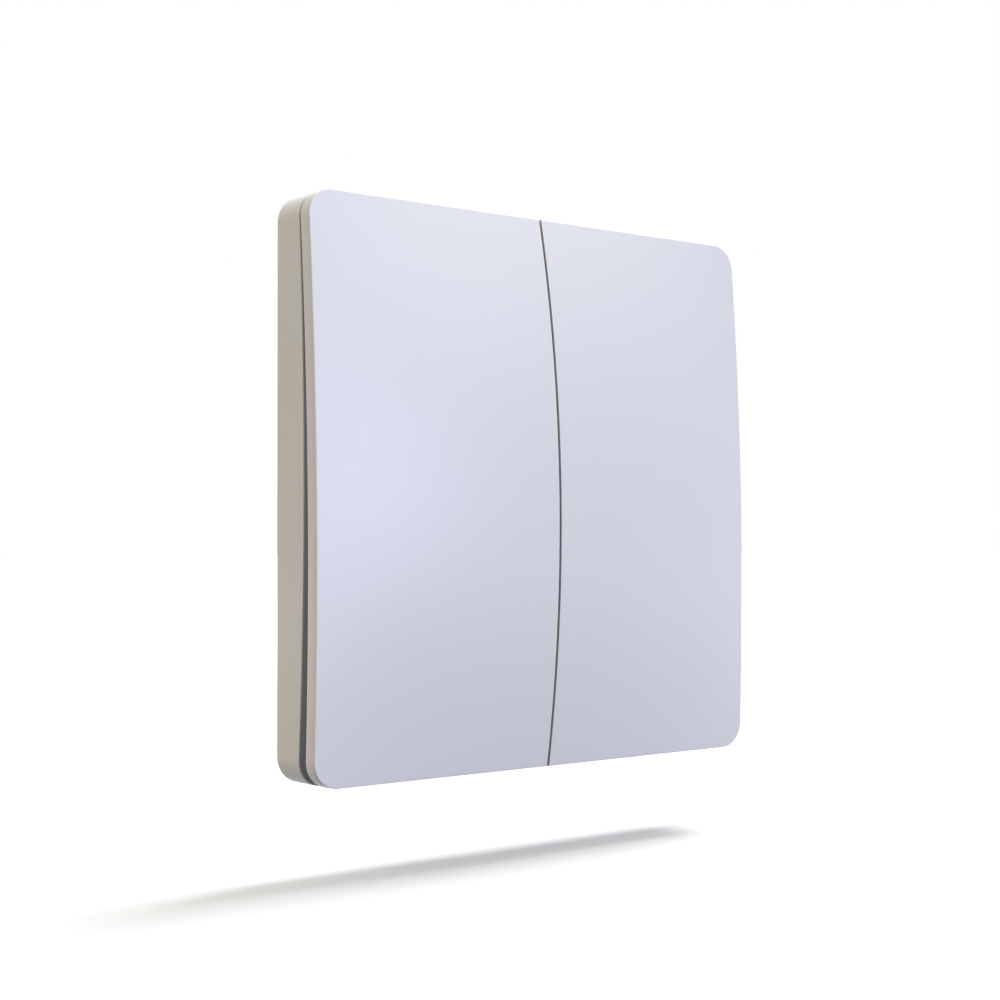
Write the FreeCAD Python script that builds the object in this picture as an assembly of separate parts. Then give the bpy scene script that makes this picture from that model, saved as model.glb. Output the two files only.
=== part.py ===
"""Self-powered wireless wall switch with two rockers side by side.

Millimetres. +X is to the right seen from the front, +Z is up, and +Y points into the wall.
The origin is the centre of the back face, so the wall is the plane Y = 0.
A depth is a distance out of the wall, towards -Y.
"""
import FreeCAD
import Part
import math
import os

from FreeCAD import Vector

# Whole switch
face_width = 86.0
face_height = 86.0
corner_radius = 4.0

# Wall plate, with slots for the two screws of a wall box
plate_thick = 1.6
plate_edge_gap = 0.3
plate_floor_gap = 0.1
screw_spacing = 60.3
screw_slot_width = 4.4
screw_slot_length = 5.6
screw_head_radius = 4.1
nose_length = 6.0
nose_reach = 0.5
nose_back = 0.4
nose_front = 1.2
nose_height = 25.0
nose_gap = 0.1
pry_width = 8.0
pry_depth = 0.8

# Housing ring, and the tray inside it: floor, and a wall whose top is the catch flange
wall_thick = 2.0
floor_thick = 1.2
rim_depth = 5.7
rim_bow = 1.5
flange_width = 1.4
flange_drop = 0.9
flange_rise = 0.9

# Rockers: a bowed front, a lip all round and a thinner wall between
seam_gap = 0.4
rim_gap = 0.32
lip_gap = 0.4
edge_thick = 2.45
lip_bow = 1.45
edge_bow = 1.4
seam_bow = 4.0
rocker_wall = 1.5
seam_lip_width = 1.2
rocker_tilt = 1.11
rib_thick = 1.0
rib_drop = 1.0
rib_inset = 5.6
cross_rib_spacing = 15.0
cross_rib_count = 4

# Rocker hinges: trunnions on two lugs snap into two posts of the housing
hinge_depth = 6.0
hinge_inset = 7.4
lug_radius = 1.3
lug_width = 1.4
lug_side_gap = 0.15
lug_end_gap = 0.3
trunnion_radius = 0.9
trunnion_length = 1.6
trunnion_gap = 0.06
post_width = 1.8
post_foot = 1.6
post_cap = 1.2
snap_mouth = 1.5

# Stop hooks at the foot of each rocker catch behind the flange
hook_inset = 6.4
hook_width = 4.0
hook_leg_thick = 1.2
hook_leg_gap = 0.3
barb_thick = 0.8
barb_reach = 1.0
barb_gap = 0.05
window_gap = 0.4

# Generators: place, and the coil on its bobbin
generator_x = 13.5
bobbin_length = 20.0
bobbin_width = 13.8
bobbin_depth = 5.8
bobbin_flange = 0.8
bobbin_tube_wall = 0.6
bobbin_top_gap = 1.2
coil_inset = 0.4
coil_corner = 1.2
coil_end_gap = 0.05
core_width = 5.0
core_thick = 1.0
core_gap = 0.1
pin_radius = 0.25
pin_spread = 10.0
pin_gap = 0.05
pin_reach = 2.4

# Iron circuit: yoke round the coil, pole plates and magnet
yoke_thick = 0.8
yoke_depth = 2.6
yoke_side_gap = 0.3
jaw_drop = 2.3
jaw_height = 1.7
jaw_end = 0.5
magnet_length = 4.0
magnet_width = 11.0
magnet_thick = 1.7
pole_thick = 0.8
pole_length = 6.6
pole_top_gap = 0.2
pole_travel_gap = 0.35

# Magnet holder, rocking on two trunnions
pivot_rise = 1.5
arm_width = 1.0
arm_depth = 2.6
arm_gap = 0.5
arm_head_radius = 1.6
holder_gap = 0.7
holder_wall = 0.5
holder_floor = 0.6
magnet_fit_gap = 0.05
bar_height = 2.0
bar_behind = 1.5
bar_front = 0.9
pivot_radius = 1.0
pivot_length = 1.0
pivot_gap = 0.06

# Lever spring riveted to the holder, which the rocker presses
lever_thick = 0.35
lever_width = 8.0
lever_tip_width = 5.0
lever_end_gap = 0.1
push_drop = 2.2
lever_tip = 1.5
lever_room = 1.2
rivet_radius = 0.6
rivet_head_radius = 1.0
rivet_head_thick = 0.35
rivet_gap = 0.05
rivet_spacing = 5.0
pusher_width = 6.0
pusher_thick = 1.2
pusher_gap = 0.1

# Generator frame, staked to the floor
frame_thick = 0.5
frame_side_gap = 0.3
cheek_width = 1.2
cheek_half = 2.5
cheek_cap = 1.2
pivot_mouth = 1.6
frame_ear = 4.3
frame_foot_gap = 0.8
stake_radius = 0.9
stake_gap = 0.1
stake_head_radius = 1.4
stake_head_thick = 0.5
stake_seat = 0.02
stake_inset = 1.6
stake_lift = 3.0
clip_width = 3.0
clip_thick = 1.0
clip_side_gap = 0.15
clip_nose = 0.6
clip_seat = 0.05
clip_drop = 10.0

# Return springs and stop bumpers
spring_radius = 1.7
spring_wire = 0.5
spring_turns = 4.0
spring_end_gap = 0.05
spring_peg_radius = 1.2
spring_peg_height = 1.3
bumper_width = 10.0
bumper_height = 3.0
bumper_thick = 0.6

# Circuit board and what it carries
board_width = 54.0
board_thick = 1.0
board_lift = 0.5
board_gap = 1.2
board_hinge_gap = 6.7
board_corner = 1.0
board_stake_inset = 2.5
board_boss_radius = 1.8
chip_size = 5.0
chip_thick = 0.9
crystal_width = 3.2
crystal_height = 2.5
crystal_thick = 0.8
crystal_gap = 2.0
capacitor_radius = 2.0
capacitor_tall = 3.8
capacitor_base = 4.4
capacitor_base_thick = 0.6
capacitor_x = -10.5
rectifier_width = 4.0
rectifier_height = 3.6
rectifier_thick = 1.4
rectifier_x = 20.0
regulator_width = 2.9
regulator_height = 1.6
regulator_thick = 1.1
regulator_x = 11.5
lead_reach = 0.7
lead_width = 0.4
lead_thick = 0.2
lead_lift = 0.35
antenna_length = 36.0
antenna_strip = 0.4
antenna_depth = 2.0
antenna_leg = 1.0
antenna_leg_width = 1.2
antenna_feed = 6.0
antenna_inset = 2.0

# Reach of a cutting shape past what it cuts
beyond = 5.0

# Places that follow from the sizes above
half_width = face_width / 2
half_height = face_height / 2
ring_x = half_width - wall_thick
ring_z = half_height - wall_thick
flange_x = ring_x - flange_width
flange_z = ring_z - flange_width
flange_back = rim_depth - flange_drop
floor_back = plate_thick + plate_floor_gap
floor_front = floor_back + floor_thick
lip_width = wall_thick - lip_gap
rocker_back = rim_depth + rim_gap
rocker_front = rocker_back + edge_thick
rocker_inner_x = seam_gap / 2
hinge_z = flange_z - lug_end_gap - lug_radius
axis_depth = floor_front + frame_thick + bobbin_depth / 2
hook_leg_low = -flange_z + hook_leg_gap
hook_leg_high = hook_leg_low + hook_leg_thick
lever_bottom = hook_leg_high + lever_room
push_z = lever_bottom + lever_tip
bar_bottom = push_z + push_drop
holder_bottom = bar_bottom + bar_height
pole_bottom = holder_bottom + holder_floor
pole_top = pole_bottom + pole_length
jaw_top = pole_top + pole_top_gap
jaw_bottom = jaw_top - jaw_height
holder_top = jaw_bottom - holder_gap
bobbin_bottom = jaw_top + jaw_drop
bobbin_top = bobbin_bottom + bobbin_length
pivot_z = bobbin_bottom + pivot_rise
core_top = bobbin_top + bobbin_top_gap
generator_top = core_top + yoke_thick
yoke_inner_x = bobbin_width / 2 + yoke_side_gap
yoke_outer_x = yoke_inner_x + yoke_thick
arm_inner_x = yoke_outer_x + arm_gap
arm_outer_x = arm_inner_x + arm_width
cheek_inner_x = arm_outer_x + frame_side_gap
frame_half = cheek_inner_x + cheek_width
frame_front = floor_front + frame_thick
frame_top = generator_top + frame_ear
frame_bottom = jaw_top + frame_foot_gap
pole_inner = magnet_thick / 2
pole_outer = pole_inner + pole_thick
board_back = floor_front + board_lift
board_front = board_back + board_thick
board_bottom = frame_top + board_gap
board_top = hinge_z - lug_radius - board_hinge_gap
board_height = board_top - board_bottom
board_middle = (board_bottom + board_top) / 2

# The rocker turns by its tilt until it is parallel to the rim, and its push rib carries the holder along
holder_travel = math.radians(rocker_tilt) * (hinge_z - push_z) / (pivot_z - push_z)
holder_rest_turn = math.degrees(holder_travel) / 2
lever_back = axis_depth + bar_front
lever_front = lever_back + lever_thick
rest_slope = math.tan(math.radians(holder_rest_turn))
rest_cosine = math.cos(math.radians(holder_rest_turn))
lever_rise = (pivot_z - push_z) * rest_slope
lever_rest_front = axis_depth + (lever_front - axis_depth) / rest_cosine + lever_rise
lever_rest_back = axis_depth + (lever_back - axis_depth) / rest_cosine + lever_rise

EAST = Vector(1, 0, 0)
NORTH = Vector(0, 1, 0)
UP = Vector(0, 0, 1)


def block(x0, x1, z0, z1, back, front):
    """Box between two X values, two Z values and two depths."""
    width, height, depth = abs(x1 - x0), abs(z1 - z0), abs(front - back)
    corner = Vector(min(x0, x1), -max(back, front), min(z0, z1))
    return Part.makeBox(width, depth, height, corner)


def rounded_block(half_x, half_z, radius, back, front, x=0.0, z=0.0):
    """Box centred on x and z whose four edges along the depth are rounded."""
    solid = block(x - half_x, x + half_x, z - half_z, z + half_z, back, front)
    edges = [edge for edge in solid.Edges if abs(edge.tangentAt(edge.FirstParameter).y) > 0.9]
    return solid.makeFillet(radius, edges)


def rod_in(radius, x, z, back, front):
    """Round rod along the depth."""
    return Part.makeCylinder(radius, front - back, Vector(x, -back, z), -NORTH)


def rod_across(radius, x0, x1, depth, z):
    """Round rod along X."""
    return Part.makeCylinder(radius, abs(x1 - x0), Vector(min(x0, x1), -depth, z), EAST)


def slot_block(x, z, length, width, back, front):
    """Straight slot with round ends, along X."""
    run = (length - width) / 2
    solid = block(x - run, x + run, z - width / 2, z + width / 2, back, front)
    for end in (x - run, x + run):
        solid = solid.fuse(rod_in(width / 2, end, z, back, front))
    return solid.removeSplitter()


def join(pieces):
    """One solid from pieces that meet or overlap."""
    return pieces[0].multiFuse(pieces[1:]).removeSplitter()


def behind_arc(depth, bow):
    """Everything behind a surface that is straight along X and bows out at mid-height."""
    radius = (bow ** 2 + half_height ** 2) / (2 * bow)
    end_z = half_height + beyond
    end_depth = depth + bow - radius + math.sqrt(radius ** 2 - end_z ** 2)
    left = -(half_width + beyond)
    low = Vector(left, -end_depth, -end_z)
    middle = Vector(left, -(depth + bow), 0)
    high = Vector(left, -end_depth, end_z)
    back_high = Vector(left, beyond, end_z)
    back_low = Vector(left, beyond, -end_z)
    edges = [Part.Arc(low, middle, high).toShape(), Part.makeLine(high, back_high)]
    edges += [Part.makeLine(back_high, back_low), Part.makeLine(back_low, low)]
    return Part.Face(Part.Wire(edges)).extrude(EAST * (face_width + 2 * beyond))


def behind_pillow(depth):
    """Everything behind the bowed front: flat at top and bottom, most bowed at the seam."""
    stretch_x = (half_width + beyond) / half_width
    stretch_z = (half_height + beyond) / half_height
    rise = seam_bow - edge_bow
    side = edge_bow + rise * (1 - stretch_x ** 2)
    crown = edge_bow + rise * (1 + stretch_x ** 2)
    end = 1 - stretch_z ** 2
    middle = 1 + stretch_z ** 2
    rows = []
    for x, across in ((-1, side), (0, crown), (1, side)):
        row = []
        for z, along in ((-1, end), (0, middle), (1, end)):
            place = Vector(x * (half_width + beyond), -(depth + across * along), z * (half_height + beyond))
            row.append(place)
        rows.append(row)
    patch = Part.BezierSurface()
    patch.increase(2, 2)
    for i, row in enumerate(rows):
        for j, place in enumerate(row):
            patch.setPole(i + 1, j + 1, place)
    return patch.toShape().extrude(NORTH * (depth + 2 * beyond))


def generator_places():
    """Each generator's name and its middle plane."""
    return (("left", -generator_x), ("right", generator_x))


def frame_stakes():
    """Stakes of one generator frame, from its middle plane."""
    reach = frame_half - stake_inset
    rows = (frame_top - stake_inset, pivot_z + cheek_half + stake_lift)
    return [(side * reach, z) for side in (-1, 1) for z in rows]


def board_stakes():
    """Stakes at the four corners of the board."""
    reach = board_width / 2 - board_stake_inset
    rows = (board_bottom + board_stake_inset, board_top - board_stake_inset)
    return [(side * reach, z) for side in (-1, 1) for z in rows]


def stake(x, z, seat, front):
    """Moulded peg with its melted head, seated over a sheet whose front is given."""
    head_back = front + stake_seat
    shank = rod_in(stake_radius, x, z, seat, head_back + stake_head_thick / 2)
    return shank.fuse(rod_in(stake_head_radius, x, z, head_back, head_back + stake_head_thick))


def from_edges(inset, end):
    """Distance from the seam plane of a place set in from the rocker's inner or outer side."""
    return rocker_inner_x + inset if end < 0 else half_width - inset


def hinge_post(side, end):
    """Post beside one lug, with a bore that opens to the front through a narrow mouth."""
    near = side * (from_edges(hinge_inset, end) + end * (lug_width / 2 + lug_side_gap))
    far = near + side * end * post_width
    front = hinge_depth + post_cap
    post = block(near, far, hinge_z - post_foot, flange_z, floor_front, front)
    x0, x1 = min(near, far) - beyond, max(near, far) + beyond
    bore = rod_across(trunnion_radius + trunnion_gap, x0, x1, hinge_depth, hinge_z)
    half_mouth = snap_mouth / 2
    mouth = block(x0, x1, hinge_z - half_mouth, hinge_z + half_mouth, hinge_depth, front + 1)
    return post.cut(bore.fuse(mouth))


def hook_places(side):
    """Middle planes of the two stop hooks of one rocker."""
    return [side * from_edges(hook_inset, end) for end in (-1, 1)]


def housing():
    """Outer ring with a bowed rim, pockets for the noses of the wall plate and a pry notch."""
    outer = rounded_block(half_width, half_height, corner_radius, 0, rim_depth + rim_bow)
    hollow = rounded_block(ring_x, ring_z, corner_radius - wall_thick, -1, rim_depth + rim_bow + 1)
    ring = outer.cut(hollow).common(behind_arc(rim_depth, rim_bow))
    cuts = [block(-pry_width / 2, pry_width / 2, -half_height - 1, -ring_z, -1, pry_depth)]
    pocket = ring_x + nose_reach + nose_gap
    reach = nose_length / 2 + nose_gap
    back, front = nose_back - nose_gap, nose_front + nose_gap
    for side in (-1, 1):
        for z in (-nose_height, nose_height):
            cuts.append(block(side * ring_x, side * pocket, z - reach, z + reach, back, front))
    return ring.cut(cuts[0].multiFuse(cuts[1:]))


def tray():
    """Inner moulding welded into the ring: floor, wall with the catch edge, posts, pegs and stakes."""
    corner = corner_radius - wall_thick
    high = rim_depth + rim_bow + flange_rise
    solid = rounded_block(ring_x, ring_z, corner, floor_back, high)
    inside = block(-flange_x, flange_x, -flange_z, flange_z, floor_front, high + 1)
    solid = solid.cut(inside).common(behind_arc(rim_depth + flange_rise, rim_bow))
    posts = [hinge_post(side, end) for side in (-1, 1) for end in (-1, 1)]
    solid = join([solid] + posts)

    cuts = []
    window_top = hook_leg_high + window_gap
    relief = screw_slot_length - screw_slot_width + 2 * screw_head_radius
    for side in (-1, 1):
        for x in hook_places(side):
            x0, x1 = x - hook_width / 2 - window_gap, x + hook_width / 2 + window_gap
            cuts.append(block(x0, x1, -ring_z, window_top, floor_back - 1, floor_front + 1))
            cuts.append(block(x0, x1, -ring_z, -flange_z + 1, floor_back, flange_back))
        x = side * screw_spacing / 2
        cuts.append(slot_block(x, 0, relief, 2 * screw_head_radius, floor_back - 1, floor_front + 1))
    solid = solid.cut(cuts[0].multiFuse(cuts[1:]))

    pegs = []
    for _, x in generator_places():
        pegs.append(rod_in(spring_peg_radius, x, push_z, floor_front, floor_front + spring_peg_height))
        pegs += [stake(x + dx, z, floor_front, frame_front) for dx, z in frame_stakes()]
    for x, z in board_stakes():
        pegs.append(rod_in(board_boss_radius, x, z, floor_front, board_back))
        pegs.append(stake(x, z, board_back, board_front))
    return join([solid] + pegs)


def wall_plate():
    """Flat back plate with two screw slots and four snap noses."""
    half_x = ring_x - plate_edge_gap
    half_z = ring_z - plate_edge_gap
    plate = rounded_block(half_x, half_z, corner_radius - wall_thick, 0, plate_thick)
    for side in (-1, 1):
        x = side * screw_spacing / 2
        plate = plate.cut(slot_block(x, 0, screw_slot_length, screw_slot_width, -1, plate_thick + 1))
    noses = []
    for side in (-1, 1):
        for z in (-nose_height, nose_height):
            low, high = z - nose_length / 2, z + nose_length / 2
            root = side * (half_x - 1)
            noses.append(block(root, side * (ring_x + nose_reach), low, high, nose_back, nose_front))
    return join([plate] + noses)


def rocker_ribs(side, void):
    """Stiffening ribs that follow the inside of the front, clear of the generator."""
    layer = void.cut(void.translated(NORTH * rib_drop))
    first = generator_x + frame_half + rib_thick
    upright = [first, flange_x - rib_inset]
    low = -cross_rib_spacing * (cross_rib_count / 2)
    strips = []
    end_x, end_z = flange_x - lip_gap, flange_z - lip_gap
    deep = rocker_front + 2 * seam_bow
    for x in upright:
        strips.append(block(side * x, side * (x + rib_thick), -end_z, end_z, 0, deep))
    for i in range(cross_rib_count):
        z = low + i * cross_rib_spacing + rib_thick
        strips.append(block(side * first, side * end_x, z, z + rib_thick, 0, deep))
    return [layer.common(strip) for strip in strips]


def rocker(side):
    """One push plate: bowed shell, ribs, hinge lugs with trunnions, push rib and stop hooks."""
    pillow = behind_pillow(rocker_front)
    deep = rocker_front + 2 * seam_bow
    square = rounded_block(half_width, half_height, corner_radius, 0, deep)
    far_z = half_height + 1
    half = block(side * rocker_inner_x, side * (half_width + 1), -far_z, far_z, -1, deep)
    body = square.common(half).common(pillow)

    corner = corner_radius - lip_width
    inset = rounded_block(half_width - lip_width, half_height - lip_width, corner, 0, deep)
    seam_face = side * (rocker_inner_x + seam_lip_width)
    lip_stop = flange_z - lip_gap
    hollow = block(seam_face, side * half_width, -half_height, half_height, -1, deep)
    for end in (-1, 1):
        hollow = hollow.fuse(block(0, seam_face, end * lip_stop, end * half_height, -1, deep))
    void = inset.common(hollow).common(behind_pillow(rocker_front - rocker_wall))
    seam_side = block(0, side * half_width, -half_height, half_height, -1, deep)
    below_lip = inset.common(seam_side).common(behind_pillow(rocker_front - edge_thick))
    shell = body.cut(void).cut(below_lip).cut(behind_arc(rocker_back, lip_bow))

    top_edge = Vector(0, -rocker_back, half_height)
    pieces = [shell] + rocker_ribs(side, void)
    for piece in pieces + [body]:
        piece.rotate(top_edge, EAST, -rocker_tilt)

    inner = body.translated(NORTH * (rocker_wall / 2))
    for end in (-1, 1):
        x = from_edges(hinge_inset, end)
        x0, x1 = side * (x - lug_width / 2), side * (x + lug_width / 2)
        lug = block(x0, x1, hinge_z - lug_radius, hinge_z + lug_radius, hinge_depth, deep).common(inner)
        face = side * (x + end * lug_width / 2)
        tip = face + side * end * trunnion_length
        pieces += [lug, rod_across(lug_radius, x0, x1, hinge_depth, hinge_z)]
        pieces.append(rod_across(trunnion_radius, side * x, tip, hinge_depth, hinge_z))
    barb_front = flange_back - barb_gap
    barb_back = barb_front - barb_thick
    for x in hook_places(side):
        x0, x1 = x - hook_width / 2, x + hook_width / 2
        pieces.append(block(x0, x1, hook_leg_low, hook_leg_high, barb_back, deep).common(inner))
        pieces.append(block(x0, x1, -flange_z - barb_reach, hook_leg_high, barb_back, barb_front))
    x0, x1 = side * generator_x - pusher_width / 2, side * generator_x + pusher_width / 2
    low, high = push_z - pusher_thick / 2, push_z + pusher_thick / 2
    pieces.append(block(x0, x1, low, high, lever_rest_front + pusher_gap, deep).common(inner))
    return join(pieces)


def generator_frame(x):
    """Carrier with two cheeks that hold the rocking holder, and two clips over the yoke."""
    plate = block(x - frame_half, x + frame_half, frame_bottom, frame_top, floor_front, frame_front)
    pieces = [plate]
    bore_radius = pivot_radius + pivot_gap
    cheek_front = axis_depth + cheek_cap
    clip_top = generator_top - clip_drop
    clip_bottom = clip_top - clip_width
    for side in (-1, 1):
        near, far = x + side * cheek_inner_x, x + side * frame_half
        cheek = block(near, far, pivot_z - cheek_half, pivot_z + cheek_half, floor_front, cheek_front)
        cheek = cheek.cut(rod_across(bore_radius, near - side, far + side, axis_depth, pivot_z))
        low, high = pivot_z - pivot_mouth / 2, pivot_z + pivot_mouth / 2
        pieces.append(cheek.cut(block(near - side, far + side, low, high, axis_depth, cheek_front + 1)))
        leg_back = axis_depth - yoke_depth / 2
        leg_front = axis_depth + yoke_depth / 2
        inner = x + side * yoke_inner_x
        outer = x + side * (yoke_outer_x + clip_side_gap)
        far = outer + side * clip_thick
        nose_low = leg_front + clip_seat
        nose_high = nose_low + clip_nose
        nose_inner = x + side * (yoke_outer_x - yoke_thick / 2)
        pieces.append(block(inner, outer, clip_bottom, clip_top, frame_front, leg_back - clip_seat))
        pieces.append(block(outer, far, clip_bottom, clip_top, floor_front, nose_low))
        pieces.append(block(nose_inner, far, clip_bottom, clip_top, nose_low, nose_high))
    solid = join(pieces)
    for dx, z in frame_stakes():
        solid = solid.cut(rod_in(stake_radius + stake_gap, x + dx, z, floor_front - 1, frame_front + 1))
    return solid


def bobbin(x):
    """Moulded spool: square tube, two flanges and bores for the two terminal pins."""
    half_x, half_d = bobbin_width / 2, bobbin_depth / 2
    hole_x, hole_d = core_width / 2 + core_gap, core_thick / 2 + core_gap
    tube_x, tube_d = hole_x + bobbin_tube_wall, hole_d + bobbin_tube_wall
    back, front = axis_depth - tube_d, axis_depth + tube_d
    pieces = [block(x - tube_x, x + tube_x, bobbin_bottom, bobbin_top, back, front)]
    for low in (bobbin_bottom, bobbin_top - bobbin_flange):
        high = low + bobbin_flange
        pieces.append(block(x - half_x, x + half_x, low, high, axis_depth - half_d, axis_depth + half_d))
    solid = join(pieces)
    low, high = bobbin_bottom - 1, bobbin_top + 1
    back, front = axis_depth - hole_d, axis_depth + hole_d
    solid = solid.cut(block(x - hole_x, x + hole_x, low, high, back, front))
    for side in (-1, 1):
        depth = board_front + pin_radius
        foot = Vector(x + side * pin_spread / 2, -depth, bobbin_top - bobbin_flange - 1)
        solid = solid.cut(Part.makeCylinder(pin_radius + pin_gap, bobbin_flange + 2, foot, UP))
    return solid


def coil(x):
    """Winding between the two flanges."""
    half_x = bobbin_width / 2 - coil_inset
    half_d = bobbin_depth / 2 - coil_inset
    low = bobbin_bottom + bobbin_flange + coil_end_gap
    high = bobbin_top - bobbin_flange - coil_end_gap
    winding = block(x - half_x, x + half_x, low, high, axis_depth - half_d, axis_depth + half_d)
    edges = [edge for edge in winding.Edges if abs(edge.tangentAt(edge.FirstParameter).z) > 0.9]
    winding = winding.makeFillet(coil_corner, edges)
    hole_x = core_width / 2 + core_gap + bobbin_tube_wall
    hole_d = core_thick / 2 + core_gap + bobbin_tube_wall
    hole = block(x - hole_x, x + hole_x, low - 1, high + 1, axis_depth - hole_d, axis_depth + hole_d)
    return winding.cut(hole)


def coil_pins(x):
    """Two straight terminal pins from the bobbin on to the board."""
    low = bobbin_top - bobbin_flange
    length = board_bottom + pin_reach - low
    pins = []
    for side in (-1, 1):
        foot = Vector(x + side * pin_spread / 2, -(board_front + pin_radius), low)
        pins.append(Part.makeCylinder(pin_radius, length, foot, UP))
    return Part.makeCompound(pins)


def core(x):
    """Flat iron tongue through the coil, whose foot lies between the pole plates."""
    half_x, half_d = core_width / 2, core_thick / 2
    back, front = axis_depth - half_d, axis_depth + half_d
    return block(x - half_x, x + half_x, jaw_bottom, core_top, back, front)


def yoke(x):
    """Iron strip folded round the coil, with one jaw in front of the poles and one behind."""
    back, front = axis_depth - yoke_depth / 2, axis_depth + yoke_depth / 2
    pieces = [block(x - yoke_outer_x, x + yoke_outer_x, core_top, generator_top, back, front)]
    for side in (-1, 1):
        inner, outer = x + side * yoke_inner_x, x + side * yoke_outer_x
        pieces.append(block(inner, outer, jaw_bottom, generator_top, back, front))
        way = -side if x > 0 else side
        near = axis_depth + way * (pole_outer + pole_travel_gap)
        far = near + way * yoke_thick
        pieces.append(block(inner, outer, jaw_bottom, jaw_top, axis_depth, far))
        pieces.append(block(x + side * jaw_end, outer, jaw_bottom, jaw_top, near, far))
    return join(pieces)


def at_rest(shape, x):
    """Turn a piece of the rocking group out from its middle place to its place at rest."""
    shape.rotate(Vector(x, -axis_depth, pivot_z), EAST, -holder_rest_turn)
    return shape


def magnet(x):
    """Block magnet between the pole plates."""
    half = magnet_width / 2
    low, high = pole_bottom, pole_bottom + magnet_length
    inner = pole_inner - magnet_fit_gap / 2
    return at_rest(block(x - half, x + half, low, high, axis_depth - inner, axis_depth + inner), x)


def pole_plate(x, side):
    """Iron plate on one face of the magnet, standing out past it towards the core."""
    half = magnet_width / 2
    near, far = axis_depth + side * pole_inner, axis_depth + side * pole_outer
    return at_rest(block(x - half, x + half, pole_bottom, pole_top, near, far), x)


def magnet_holder(x):
    """Moulded rocking frame: pocket for the magnet, two arms and two trunnions."""
    deep = pole_outer + magnet_fit_gap
    back, front = axis_depth - deep - holder_wall, axis_depth + deep + holder_wall
    pieces = [block(x - arm_outer_x, x + arm_outer_x, holder_bottom, holder_top, back, front)]
    bar_back = axis_depth - bar_behind
    pieces.append(block(x - arm_inner_x, x + arm_inner_x, bar_bottom, holder_top, bar_back, lever_back))
    for side in (-1, 1):
        inner, outer = x + side * arm_inner_x, x + side * arm_outer_x
        back, front = axis_depth - arm_depth / 2, axis_depth + arm_depth / 2
        pieces.append(block(inner, outer, holder_top, pivot_z, back, front))
        pieces.append(rod_across(arm_head_radius, inner, outer, axis_depth, pivot_z))
        tip = outer + side * (frame_side_gap + pivot_length)
        pieces.append(rod_across(pivot_radius, inner, tip, axis_depth, pivot_z))
    solid = join(pieces)
    half = magnet_width / 2 + magnet_fit_gap
    low = pole_bottom - magnet_fit_gap
    solid = solid.cut(block(x - half, x + half, low, pole_top, axis_depth - deep, axis_depth + deep))
    for side in (-1, 1):
        place = x + side * rivet_spacing / 2
        solid = solid.cut(rod_in(rivet_radius + rivet_gap, place, rivet_z(), bar_back - 1, lever_back + 1))
    return at_rest(solid, x)


def rivet_z():
    """Height of the two rivets, in the middle of the holder's lower bar."""
    return (holder_bottom + bar_bottom) / 2


def lever_spring(x):
    """Spring-steel tongue, tapered to the tip that the rocker presses."""
    top = holder_bottom - lever_end_gap
    wide, narrow = lever_width / 2, lever_tip_width / 2
    outline = [(-wide, top), (wide, top), (wide, bar_bottom), (narrow, lever_bottom)]
    outline += [(-narrow, lever_bottom), (-wide, bar_bottom), (-wide, top)]
    wire = Part.makePolygon([Vector(x + dx, -lever_back, z) for dx, z in outline])
    blade = Part.Face(wire).extrude(-NORTH * lever_thick)
    for side in (-1, 1):
        place = x + side * rivet_spacing / 2
        hole = rod_in(rivet_radius + rivet_gap, place, rivet_z(), lever_back - 1, lever_front + 1)
        blade = blade.cut(hole)
    return at_rest(blade, x)


def lever_rivets(x):
    """Two rivets through the lever spring and the holder's bar."""
    rivets = []
    bar_back = axis_depth - bar_behind
    for side in (-1, 1):
        place = x + side * rivet_spacing / 2
        shank = rod_in(rivet_radius, place, rivet_z(), bar_back, lever_front + rivet_gap)
        near = lever_front + rivet_gap
        head = rod_in(rivet_head_radius, place, rivet_z(), near, near + rivet_head_thick)
        foot_front = bar_back - rivet_gap
        foot = rod_in(rivet_head_radius, place, rivet_z(), foot_front - rivet_head_thick, foot_front)
        neck = rod_in(rivet_radius, place, rivet_z(), foot_front - rivet_gap, bar_back + rivet_gap)
        rivets.append(join([shank, head, neck, foot]))
    return at_rest(Part.makeCompound(rivets), x)


def return_spring(x):
    """Coil spring between the floor and the back of the lever spring."""
    low = floor_front + spring_end_gap + spring_wire / 2
    high = lever_rest_back - 2 * spring_end_gap - spring_wire / 2
    height = high - low - spring_radius * rest_slope
    path = Part.makeLongHelix(height / spring_turns, height, spring_radius)
    ring = Part.Circle(Vector(spring_radius, 0, 0), NORTH, spring_wire / 2).toShape()
    solid = Part.Wire(path.Edges).makePipeShell([Part.Wire([ring])], True, True)
    solid.rotate(Vector(0, 0, 0), EAST, 90)
    solid.translate(Vector(x, -low, push_z))
    return solid


def stop_bumper(x):
    """Soft pad on the floor, under the magnet holder."""
    middle = (holder_top + holder_bottom) / 2
    half_x, low, high = bumper_width / 2, middle - bumper_height / 2, middle + bumper_height / 2
    return block(x - half_x, x + half_x, low, high, floor_front, floor_front + bumper_thick)


def circuit_board():
    """Board with four holes for its stakes."""
    half_x, half_z = board_width / 2, board_height / 2
    board = rounded_block(half_x, half_z, board_corner, board_back, board_front, 0, board_middle)
    for x, z in board_stakes():
        board = board.cut(rod_in(stake_radius + stake_gap, x, z, board_back - 1, board_front + 1))
    return board


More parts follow.
